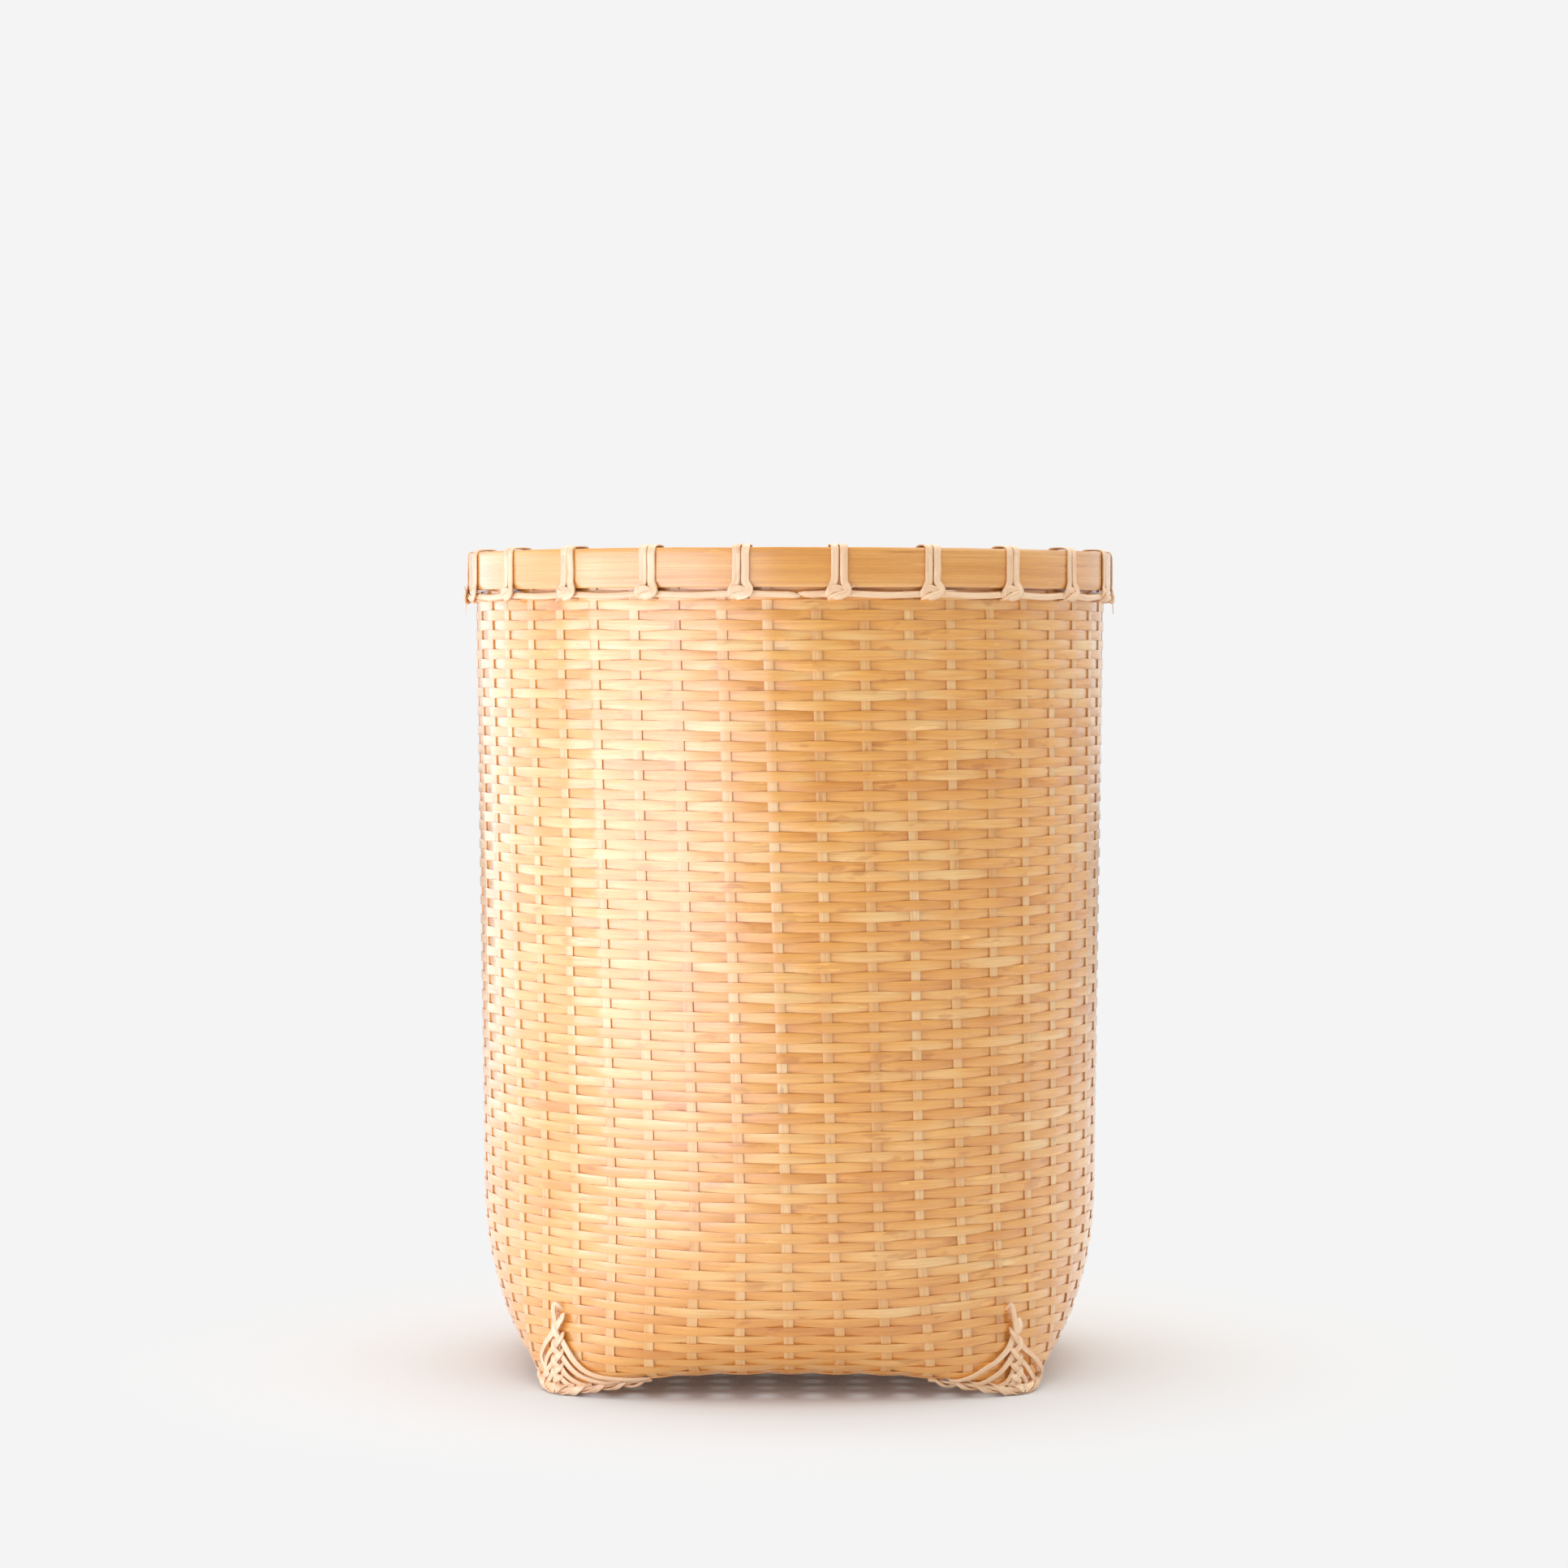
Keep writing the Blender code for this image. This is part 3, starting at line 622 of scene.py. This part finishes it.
def baseSections(alongX, index):
    offset = stripOffset(index)
    reach = outerStripOffset + stripWidth(middleStrip) / 2 + strips["edgeTaper"]
    runs, lifts, widths = [], [], []
    for crossing in range(-middleStrip, middleStrip + 1):
        over = (index + crossing + alongX) % 2 == 0
        half = stripWidth(crossing) / 2 * strips["crossingShare"]
        for share in np.linspace(-1, 1, strips["crossingStations"]):
            runs.append(stripOffset(crossing) + half * share)
            lift = strips["lift"] if over else -strips["lift"]
            lifts.append(lift * (1 - strips["crossingSag"] * abs(share) ** 3))
            widths.append(stripWidth(index))
    runs = np.concatenate(([-reach], runs, [reach]))
    lifts = np.concatenate(([0], lifts, [0]))
    widths = np.concatenate(([edgeWidth(index)], widths, [edgeWidth(index)]))
    across = np.full(len(runs), offset)
    x, y = (runs, across) if alongX else (across, runs)
    normals = baseNormal(x, y)
    centres = np.stack((x, y, baseHeight(x, y)), -1) - normals * (weave["baseDepth"] + lifts)[:, None]
    return centres, normals, widths


def makeStrips():
    chance = np.random.default_rng(21)
    template = None
    for alongX, startSide, endSide, label in ((False, 0, 2, "lengthwise"), (True, 3, 1, "crosswise")):
        for index in range(-middleStrip, middleStrip + 1):
            startIndex, endIndex = (-index, index) if alongX else (index, -index)
            parts = [stakeSections(startSide * stripCount + startIndex + middleStrip, startIndex),
                     baseSections(alongX, index)]
            end = stakeSections(endSide * stripCount + endIndex + middleStrip, endIndex)
            parts.append(tuple(values[::-1] for values in end))
            centres, normals, widths = (np.concatenate(values) for values in zip(*parts))
            across, normals = pathFrames(centres, normals)
            if template is None:
                template = stripTemplate(len(centres), strips["sides"], False)
            piece = layStrip(template, centres, across, normals, widths, strips["thickness"], strips["squareness"],
                             chance.uniform(0, 1), index * 2.3 + 31 * alongX + 20)
            name = f"{label}_strip_{index + middleStrip + 1:02d}"
            joinStrips([piece], "bamboo_" + name, stakeMaterial, name, math.radians(60))
    dropTemplate(template)


makeStrips()
print("Strips made")

# Rim: two flat hoops, a rattan strand under the outer one, and lashings
rim = {
    "height": 0.324,
    "hoopHeight": 0.015,
    "outerHoop": (0.1266, 0.1287),  # inside and outside
    "innerHoop": (0.1210, 0.1231),
    "hoopStations": 264,
    "hoopSides": 16,
    "hoopSquareness": 0.22,
    "hoopUnevenness": 0.00012,
    "strandRadius": 0.1277,
    "strandHeight": 0.3066,
    "strandThickness": 0.0026,
    "strandSag": 0.0006,
    "strandUnevenness": 0.0001,
    "strandSquareness": 0.8,
    "strandStations": 360,
    "strandSides": 12,
    "spliceAngle": math.radians(1.3),
    "spliceOverlap": math.radians(0.4),
    "tipTurn": 0.02,  # radians over which an end of the strand thickens
    "tipShare": 0.25,
    "shiftTurn": 0.03,
    "spliceShift": 0.0006,  # up for one end and down for the other
}
lashingAngles = front + stakeAngle * (1 + 2 * np.arange(stakeCount // 2))


def makeHoop(which, seed):
    inside, outside = rim[which + "Hoop"]
    template = stripTemplate(rim["hoopStations"], rim["hoopSides"], True)
    angle = np.arange(rim["hoopStations"]) * math.tau / rim["hoopStations"] - front
    column = angle / stakeAngle
    lowEdge = rim["height"] - rim["hoopHeight"] + rim["hoopUnevenness"] * waves(column, seed, (3, 7, 12))
    highEdge = rim["height"] - rim["hoopUnevenness"] * np.abs(waves(column, seed + 1, (4, 9, 15)))
    radius = (inside + outside) / 2
    outwards = outwardsAt(angle)
    centres = outwards * radius + straightUp * ((lowEdge + highEdge) / 2)[:, None]
    across = np.broadcast_to(straightUp, centres.shape)
    piece = layStrip(template, centres, across, outwards, highEdge - lowEdge, outside - inside,
                     rim["hoopSquareness"], 0.5, seed)
    joinStrips([piece], f"bamboo_{which}_hoop", hoopMaterial, f"rim_{which}_hoop", math.radians(50))
    dropTemplate(template)


def makeStrand():
    template = stripTemplate(rim["strandStations"], rim["strandSides"], False)
    turn = np.linspace(0, math.tau + rim["spliceOverlap"], rim["strandStations"])
    angle = front + rim["spliceAngle"] + turn
    between = np.cos((angle - front) * stakeCount / 4)  # most where the strand is free of the lashings
    sag = rim["strandSag"] * between ** 2 * (1 + 0.5 * waves(angle / stakeAngle, 77, (3, 5, 8)))
    left = turn[-1] - turn
    taper = np.clip(np.minimum(turn, left) / rim["tipTurn"], rim["tipShare"], 1)
    shift = np.clip(1 - turn / rim["shiftTurn"], 0, 1) - np.clip(1 - left / rim["shiftTurn"], 0, 1)
    height = rim["strandHeight"] - sag + rim["spliceShift"] * shift
    radius = rim["strandRadius"] + rim["strandUnevenness"] * waves(angle / stakeAngle, 79, (9, 17))
    outwards = outwardsAt(angle)
    centres = outwards * radius[:, None] + straightUp * height[:, None]
    across, normals = pathFrames(centres, outwards)
    thickness = rim["strandThickness"] * taper
    piece = layStrip(template, centres, across, normals, thickness, thickness, rim["strandSquareness"], 0.55, 7.7)
    joinStrips([piece], "rim_rattan_strand", rattanMaterial, "rim_strand", math.radians(50))
    dropTemplate(template)


makeHoop("outer", 41)
makeHoop("inner", 51)
makeStrand()
print("Rim made")

lashings = {
    "width": 0.0032,
    "thickness": 0.0008,
    "stations": 72,
    "sides": 8,
    # middle line of the right-hand band: outwards, sideways and up, in metres
    "front": (
        (0.12922, 0.0017, 0.3215), (0.12922, 0.0017, 0.3160), (0.12926, 0.0017, 0.3118), (0.12945, 0.0021, 0.3101),
        (0.1299, 0.0031, 0.3086), (0.13022, 0.0030, 0.3072), (0.13025, 0.0011, 0.3062), (0.1301, -0.0012, 0.3056),
        (0.1290, -0.0027, 0.3050), (0.1272, -0.0026, 0.3047), (0.1245, -0.0016, 0.3047),
    ),
    # of the left-hand one, which bulges to the left and passes behind
    "behind": (
        (0.12922, -0.0017, 0.3215), (0.12922, -0.0017, 0.3160), (0.12926, -0.0018, 0.3116), (0.12932, -0.0025, 0.3098),
        (0.12950, -0.0034, 0.3083), (0.12930, -0.0035, 0.3068), (0.1287, -0.0022, 0.3057), (0.1275, -0.0004, 0.3050),
        (0.1258, 0.0010, 0.3048), (0.1240, 0.0014, 0.3047),
    ),
    # of either from there, up the inside and over the rim, mirrored for the left-hand one
    "over": (
        (0.1212, -0.0004, 0.3050), (0.1203, 0.0004, 0.3075), (0.1202, 0.0013, 0.3115), (0.1202, 0.0016, 0.3200),
        (0.1204, 0.0016, 0.3232), (0.1214, 0.0016, 0.32455), (0.1250, 0.0016, 0.3248), (0.1280, 0.0017, 0.32455),
        (0.12895, 0.0017, 0.3236),
    ),
    # and of the turn that closes the knot
    "wrap": (
        (0.1282, -0.0033, 0.3058), (0.1289, -0.0041, 0.3068), (0.1294, -0.0033, 0.3080), (0.12965, -0.0012, 0.3085),
        (0.12965, 0.0006, 0.3079), (0.1294, 0.0018, 0.3069), (0.1286, 0.0020, 0.3060),
    ),
    "wrapStations": 20,
    "wrapShare": 0.9,  # of the bands' width
    "squareness": 0.45,
    "middle": (0.12475, 0, 0.3145),  # of the loop
    "halfSize": (0.0047, 0.0101),  # outwards and up
    "unevenness": 0.00006,
    "widthUnevenness": 0.05,
    "wrapUnevenness": 0.0001,
    "stray": 0.0012,  # radians
    "fibreWidth": 0.00028,
    "fibreLength": (0.003, 0.008),
}


def lashingBand(band, side, chance):
    points = np.vstack((band, np.array(lashings["over"]) * (1, side, 1)))
    points += chance.normal(0, lashings["unevenness"], points.shape)
    path = smoothPath(points, lashings["stations"], closed=True)
    normals = path - np.array(lashings["middle"])
    halfDepth, halfHeight = lashings["halfSize"]
    squeezed = np.where(np.abs(normals[:, 0]) / halfDepth > np.abs(normals[:, 2]) / halfHeight, 1.0, 0.0)
    squeezed = np.convolve(np.concatenate((squeezed[-3:], squeezed, squeezed[:3])), np.ones(7) / 7, "valid")
    outwards = np.sign(normals[:, 0]) * squeezed
    upwards = np.sign(normals[:, 2]) * (1 - squeezed)
    return path, unit(np.stack((outwards, np.zeros(len(path)), upwards), 1))


def turned(points, angle):
    outwards = np.array((math.cos(angle), math.sin(angle), 0))
    sideways = np.array((-math.sin(angle), math.cos(angle), 0))
    return points[:, :1] * outwards + points[:, 1:2] * sideways + points[:, 2:] * straightUp


def makeLashings():
    chance = np.random.default_rng(61)
    template = stripTemplate(lashings["stations"], lashings["sides"], True)
    short = stripTemplate(lashings["wrapStations"], lashings["sides"], False)

    def openStrand(path, place, width, thickness, tone, start):
        path = turned(smoothPath(np.array(path), lashings["wrapStations"]), place)
        across, normals = pathFrames(path, turned(np.array([(1.0, 0, 0)] * len(path)), place))
        return layStrip(short, path, across, normals, width, thickness, lashings["squareness"], tone, start)

    for number, angle in enumerate(lashingAngles, 1):
        pieces = []
        place = angle + chance.normal(0, lashings["stray"])
        for side, band in ((-1, lashings["behind"]), (1, lashings["front"])):
            path, normals = lashingBand(band, side, chance)
            centres = turned(path, place)
            across, normals = pathFrames(centres, turned(normals, place), closed=True)
            width = lashings["width"] * (1 + lashings["widthUnevenness"] * chance.normal())
            pieces.append(layStrip(template, centres, across, normals, width, lashings["thickness"],
                                   lashings["squareness"], chance.uniform(0.2, 1), number + side * 0.3 + 90))
        wrap = np.array(lashings["wrap"])
        wrap += chance.normal(0, lashings["wrapUnevenness"], wrap.shape) * (0.3, 1, 1)
        pieces.append(openStrand(wrap, place, lashings["width"] * lashings["wrapShare"], lashings["thickness"],
                                 chance.uniform(0, 0.5), number))
        for _ in range(chance.integers(0, 4)):  # loose fibres at the knot
            length = chance.uniform(*lashings["fibreLength"])
            way, curl = chance.uniform(-1, 1), chance.uniform(-0.5, 0.5)
            steps = np.linspace(0, 1, 5)
            turns = way * 2.2 + curl * steps * 2
            fibre = np.stack((0.1299 + 0.0004 * steps, 0.0018 * way + np.cumsum(np.sin(turns)) * length / 5,
                              0.3075 - np.cumsum(np.cos(turns)) * length / 5), 1)
            pieces.append(openStrand(fibre, place, lashings["fibreWidth"], lashings["fibreWidth"], 1, number + way))
        joinStrips(pieces, f"rattan_lashing_{number:02d}", rattanMaterial, f"rim_lashing_{number:02d}")
    dropTemplate(template)
    dropTemplate(short)


makeLashings()
print("Lashings made")

# Feet: a plait up each corner, strands that sweep down from it, and a twist along the base's edge
feet = {
    "strandWidth": 0.0024,
    "sweepShare": 0.85,  # of that width, once a strand has left the plait
    "thickness": 0.0009,
    "rise": 0.001,  # of a strand's middle off the weave
    "plaitHalfWidth": 0.017,  # radians
    "plaitDrop": 0.085,  # levels between a strand's start and its way out on the plait's other side
    # a strand's way over it: turns by that half width, levels by that drop, and lifts by the rise
    "plait": ((-0.8, 1, 0.2), (-1, 0.82, 1.1), (-0.62, 0.55, 1.9), (0, 0.32, 1.7), (0.62, 0.12, 1.1)),
    "edgeLevel": 0.1,  # below it strands lie close to the base
    "edgeLength": 0.036,
    "bandSpacing": 0.0082,
    "bandWidth": 0.0035,
    "tipStart": 0.85,  # share of the twist's length from which it narrows
    "tipNarrowing": 0.7,
    "twistRadius": 0.0016,
    "twistFlatness": 0.7,  # outwards, by its height
    "twistStrands": 2,
    "twistDrop": 0.0006,  # of the twist's middle under the base's edge
    "twistOut": 0.0007,
    "coreWidth": 0.0023,
    "coreLevels": (0.47, 0.03),
    "floorGap": 0.00003,
    "squareness": 0.6,
    "stations": 44,
    "sides": 8,
    # turns from the corner and levels that a strand passes after it leaves the plait; the hook has lifts too
    "open": {
        "plaitPlace": 0.027,
        "hook": ((0.055, 0.59, -0.001), (0.053, 0.603, 0.0008), (0.047, 0.611, 0.0014), (0.041, 0.585, 0.0016),
                 (0.035, 0.545, 0.0016), (0.029, 0.495, 0.0015), (0.027, 0.45, 0.0008)),
        "inner": (((0.04, 0.465), (0.054, 0.422), (0.07, 0.39), (0.105, 0.33), (0.137, 0.285), (0.175, 0.205),
                   (0.21, 0.135), (0.232, 0.08)),
                  ((0.04, 0.378), (0.052, 0.344), (0.085, 0.262), (0.118, 0.185), (0.147, 0.11), (0.16, 0.07)),
                  ((0.038, 0.29), (0.046, 0.235), (0.066, 0.15), (0.084, 0.07)),
                  ((0.038, 0.2), (0.042, 0.14), (0.048, 0.06))),
        "outer": (((-0.006, 0.425), (0.014, 0.395), (0.055, 0.335), (0.096, 0.24), (0.108, 0.17), (0.104, 0.09)),
                  ((-0.008, 0.335), (0.012, 0.3), (0.036, 0.225), (0.054, 0.145), (0.06, 0.07)),
                  ((-0.01, 0.245), (0.002, 0.205), (0.014, 0.14), (0.018, 0.06)),
                  ((-0.014, 0.16), (-0.01, 0.1), (-0.008, 0.04))),
    },
    "long": {
        "plaitPlace": 0,
        "hook": ((0.002, 0.588, -0.001), (-0.004, 0.601, 0.0008), (-0.014, 0.606, 0.0014), (-0.018, 0.58, 0.0016),
                 (-0.011, 0.545, 0.0016), (-0.003, 0.495, 0.0015), (0, 0.45, 0.0008)),
        "inner": (((0.02, 0.445), (0.034, 0.415), (0.056, 0.365), (0.082, 0.31), (0.115, 0.25), (0.152, 0.2),
                   (0.2, 0.16), (0.25, 0.13), (0.292, 0.09)),
                  ((0.02, 0.36), (0.032, 0.335), (0.056, 0.285), (0.088, 0.225), (0.126, 0.168), (0.165, 0.118),
                   (0.205, 0.085)),
                  ((0.02, 0.275), (0.034, 0.24), (0.06, 0.185), (0.092, 0.12), (0.118, 0.07)),
                  ((0.02, 0.19), (0.042, 0.13), (0.062, 0.07))),
        "outer": (((0.02, 0.485), (0.04, 0.45), (0.064, 0.4), (0.08, 0.335), (0.071, 0.285), (0.052, 0.245),
                   (0.038, 0.2)),
                  ((0.02, 0.4), (0.044, 0.35), (0.056, 0.29), (0.054, 0.24), (0.045, 0.18)),
                  ((0.02, 0.315), (0.034, 0.28), (0.054, 0.22), (0.066, 0.15), (0.074, 0.07)),
                  ((0.018, 0.23), (0.034, 0.165), (0.042, 0.11), (0.046, 0.06)),
                  ((0.01, 0.15), (0.014, 0.1), (0.014, 0.04))),
    },
}


def edgeTurn(distance):  # turn from the corner to a place on the base's edge
    offset = cornerOffset - np.abs(distance)
    return np.sign(distance) * (math.pi / 4 - np.arctan2(offset, edgeDistance(offset)))


def footStrand(template, path, normals, width, thickness, tone, start):
    path = smoothPath(path, template["stations"])
    ways = unit(smoothPath(normals, template["stations"]))
    across, ways = pathFrames(path, ways)
    piece = layStrip(template, path, across, ways, width, thickness, feet["squareness"], tone, start)
    places = readPlaces(piece.data)
    places[:, 2] = np.maximum(places[:, 2], feet["floorGap"])  # the foot stands flat
    piece.data.vertices.foreach_set("co", places.ravel())
    return piece


def sweepPath(sweep, side, middle):  # turns, levels and lifts of a strand: over the plait, then down to the edge
    half, drop, rise = feet["plaitHalfWidth"], feet["plaitDrop"], feet["rise"]
    out = sweep[0][1]
    plait = [(turn * half * side + middle, out + level * drop, lift * rise) for turn, level, lift in feet["plait"]]
    return plait + [(turn * side, level, rise * (1 if level > feet["edgeLevel"] else 0.3)) for turn, level in sweep]


def makeFoot(name, turn, style, inner):
    shape = feet[style]
    corner = front + math.pi / 4 + turn * math.pi / 2
    chance = np.random.default_rng(70 + turn)
    template = stripTemplate(feet["stations"], feet["sides"], False)
    pieces = []

    def laid(places, width, start):  # from its turns, levels and lifts
        turns, levels, lifts = (np.array(values) for values in zip(*places))
        pieces.append(footStrand(template, raisedPoint(corner + turns, levels, lifts),
                                 outerNormal(corner + turns, levels), width, feet["thickness"],
                                 chance.uniform(0.3, 1), start))

    middle = inner * shape["plaitPlace"]
    hook = [(hookTurn * inner, level, lift) for hookTurn, level, lift in shape["hook"]]
    laid(hook, feet["strandWidth"], 40 + turn)
    core = [(middle, level, 0.5 * feet["rise"]) for level in np.linspace(*feet["coreLevels"], 12)]
    laid(core, feet["coreWidth"], 45 + turn)
    fullness = np.interp(np.linspace(0, 1, feet["stations"]), (0, 0.35, 0.55), (1.05, 1.05, feet["sweepShare"]))
    for side, sweeps in ((inner, shape["inner"]), (-inner, shape["outer"])):
        for number, sweep in enumerate(sweeps):
            width = feet["strandWidth"] * chance.uniform(0.94, 1.04) * fullness
            laid(sweepPath(sweep, side, middle), width, 50 + turn + side * 0.3 + number)
        steps = np.linspace(0, feet["edgeLength"], 49)
        angle = corner + side * edgeTurn(steps)
        edge = outerPoint(angle, 0)
        along = outerPoint(angle + 0.001, 0) - outerPoint(angle - 0.001, 0)
        outwards = unit(np.stack((along[:, 1], -along[:, 0], np.zeros(len(along))), 1))
        tip = (steps / feet["edgeLength"] - feet["tipStart"]) / (1 - feet["tipStart"])
        taper = 1 - feet["tipNarrowing"] * smoothStep(tip)
        radius = feet["twistRadius"] * taper
        rope = edge + outwards * feet["twistOut"]
        rope[:, 2] = np.maximum(edge[:, 2] - feet["twistDrop"] * taper, radius + feet["thickness"] * 0.5)
        narrowing = smoothPath(np.stack((taper, taper, taper), 1), feet["stations"])[:, 0]
        coreWidth = feet["coreWidth"] * narrowing
        pieces.append(footStrand(template, rope, outwards, coreWidth, coreWidth, 0.6, 65 + turn + side * 0.4))
        for phase in np.arange(feet["twistStrands"]) * math.tau / feet["twistStrands"]:
            twist = (phase - math.tau * steps / feet["bandSpacing"] / feet["twistStrands"])[:, None]
            way = outwards * np.cos(twist) - straightUp * np.sin(twist)
            flattening = outwards * (1 - feet["twistFlatness"]) * np.cos(twist) * radius[:, None]
            place = rope + way * radius[:, None] - flattening
            pieces.append(footStrand(template, place, way, feet["bandWidth"] * narrowing,
                                     feet["thickness"], chance.uniform(0.4, 1), 60 + turn + side * 0.4 + phase))
    joinStrips(pieces, "rattan_foot_" + name, rattanMaterial, "foot_wrap_" + name, math.radians(60))
    dropTemplate(template)


for footTurn, (footName, footStyle, innerSide) in enumerate((("front_right", "open", -1), ("back_right", "long", 1),
                                                             ("back_left", "open", -1), ("front_left", "long", 1))):
    makeFoot(footName, footTurn, footStyle, innerSide)
print("Feet made")

# Studio: pale floor and backdrop, soft light from the left
studio = {
    "floorSize": 12,
    "floorTone": 0.78,
    "floorSeen": 0.75,  # by the camera alone
    "floorFade": (0.1, 0.3),  # metres from the middle over which the glow grows
    "floorGlow": (0.03, 1.0),  # share of the backdrop's own colour, near the basket and away from it
    "background": 0.905,
    "ambientFade": (-0.3, 0.5),
    "ambient": (0.18, 0.85),  # from the room in front, and from the pale walls behind
    "cameraPlace": (-0.0023, -1.733, 0.286),
    "cameraDown": math.radians(1.80),
    "lens": 98.8,
    "sensorWidth": 36,
    # a broad window on the left, weaker towards its edge where the sheen on the weave ends, and a soft top light
    "lamps": {
        "windowLamp": {"place": (-0.673, -0.495, 0.185), "aim": (-0.192, 0.144, 0.185), "size": (0.8, 0.39),
                       "strength": 3.2, "tone": (0.94, 0.985, 1.14)},
        "windowEdgeLamp": {"place": (-0.233, -0.825, 0.185), "aim": (0.248, -0.186, 0.185), "size": (0.3, 0.39),
                           "strength": 1.65, "tone": (0.96, 0.99, 1.08)},
        "sideLamp": {"place": (-0.966, 0.259, 0.19), "aim": (0, 0, 0.19), "size": (1.6, 0.38),
                     "strength": 1.15, "tone": (0.94, 0.985, 1.14)},
        "fillLamp": {"place": (1.9, -0.6, 1.25), "aim": (0, 0, 0.2), "size": (2.4, 1.1),
                     "strength": 1.25, "tone": (1, 0.99, 0.96)},
        "topLamp": {"place": (0, 0, 1.7), "aim": (0, 0, 0), "size": (2.6, 2.6),
                    "strength": 1.65, "tone": (1, 0.99, 0.96)},
    },
}
backgroundColour = (studio["background"],) * 3 + (1,)


def addToScene(name, data, place):
    added = bpy.data.objects.new(name, data)
    scene.collection.objects.link(added)
    added.location = place
    return added


def makeLamp(name, values):
    data = bpy.data.lights.new(name, "AREA")
    data.shape = "RECTANGLE"
    data.size, data.size_y = values["size"]
    data.energy = values["strength"] * math.pi * data.size * data.size_y
    data.color = values["tone"]
    lamp = addToScene(name, data, values["place"])
    aim = Vector(values["aim"]) - Vector(values["place"])
    lamp.rotation_euler = aim.to_track_quat("-Z", "Y").to_euler()
    lamp.visible_camera = False


def makeWorld():
    world = bpy.data.worlds.new("studioWorld")
    scene.world = world
    world.use_nodes = True
    tree = world.node_tree
    link = tree.links.new
    tree.nodes.clear()
    out = addNode(tree, "ShaderNodeOutputWorld", (600, 0))
    mix = addNode(tree, "ShaderNodeMixShader", (400, 0))
    seen = addNode(tree, "ShaderNodeBackground", (200, -100))
    lit = addNode(tree, "ShaderNodeBackground", (200, 100))
    path = addNode(tree, "ShaderNodeLightPath", (0, 200))
    seen.inputs["Color"].default_value = backgroundColour
    lit.inputs["Color"].default_value = (1, 1, 1, 1)
    where = addNode(tree, "ShaderNodeTexCoord", (-600, 0))
    parts = addNode(tree, "ShaderNodeSeparateXYZ", (-400, 0))
    fade = addRange(tree, (-200, 0), studio["ambientFade"], studio["ambient"], interpolation_type="SMOOTHSTEP")
    link(where.outputs["Generated"], parts.inputs[0])
    link(parts.outputs["Y"], fade.inputs["Value"])
    link(fade.outputs["Result"], lit.inputs["Strength"])
    link(path.outputs["Is Camera Ray"], mix.inputs[0])
    link(lit.outputs[0], mix.inputs[1])
    link(seen.outputs[0], mix.inputs[2])
    link(mix.outputs[0], out.inputs["Surface"])


def makeFloor():
    deselect()
    bpy.ops.mesh.primitive_plane_add(size=studio["floorSize"])
    floor = bpy.context.object
    floor.name = "studio_floor"
    material, tree, link, shader = newMaterial("studioFloor")
    seen = addRange(tree, (-200, 400), (0, 1), (studio["floorTone"], studio["floorSeen"]))
    link(seen.outputs["Result"], shader.inputs["Base Color"])
    shader.inputs["Roughness"].default_value = 0.9
    shader.inputs["Specular IOR Level"].default_value = 0
    glow = addNode(tree, "ShaderNodeEmission", (0, -300))
    glow.inputs["Color"].default_value = backgroundColour
    mix = addNode(tree, "ShaderNodeMixShader", (400, 0))
    path = addNode(tree, "ShaderNodeLightPath", (-400, 300))
    where = addNode(tree, "ShaderNodeTexCoord", (-600, 0))
    length = addNode(tree, "ShaderNodeVectorMath", (-400, 0), operation="LENGTH")
    fade = addRange(tree, (-200, 0), studio["floorFade"], studio["floorGlow"], interpolation_type="SMOOTHSTEP")
    both = addNode(tree, "ShaderNodeMath", (100, 200), operation="MULTIPLY")
    link(where.outputs["Object"], length.inputs[0])
    link(length.outputs["Value"], fade.inputs["Value"])
    link(fade.outputs["Result"], both.inputs[0])
    link(path.outputs["Is Camera Ray"], both.inputs[1])
    link(path.outputs["Is Camera Ray"], seen.inputs["Value"])
    link(both.outputs[0], mix.inputs[0])
    link(shader.outputs[0], mix.inputs[1])
    link(glow.outputs[0], mix.inputs[2])
    link(mix.outputs[0], tree.nodes["Material Output"].inputs["Surface"])
    floor.data.materials.append(material)


def makeCamera():
    data = bpy.data.cameras.new("camera")
    data.lens = studio["lens"]
    data.sensor_width = studio["sensorWidth"]
    camera = addToScene("camera", data, studio["cameraPlace"])
    camera.rotation_euler = (math.pi / 2 - studio["cameraDown"], 0, 0)
    scene.camera = camera


for lampName, lampValues in studio["lamps"].items():
    makeLamp(lampName, lampValues)
makeWorld()
makeFloor()
makeCamera()
scene.view_settings.view_transform = "Standard"
print("Studio made")
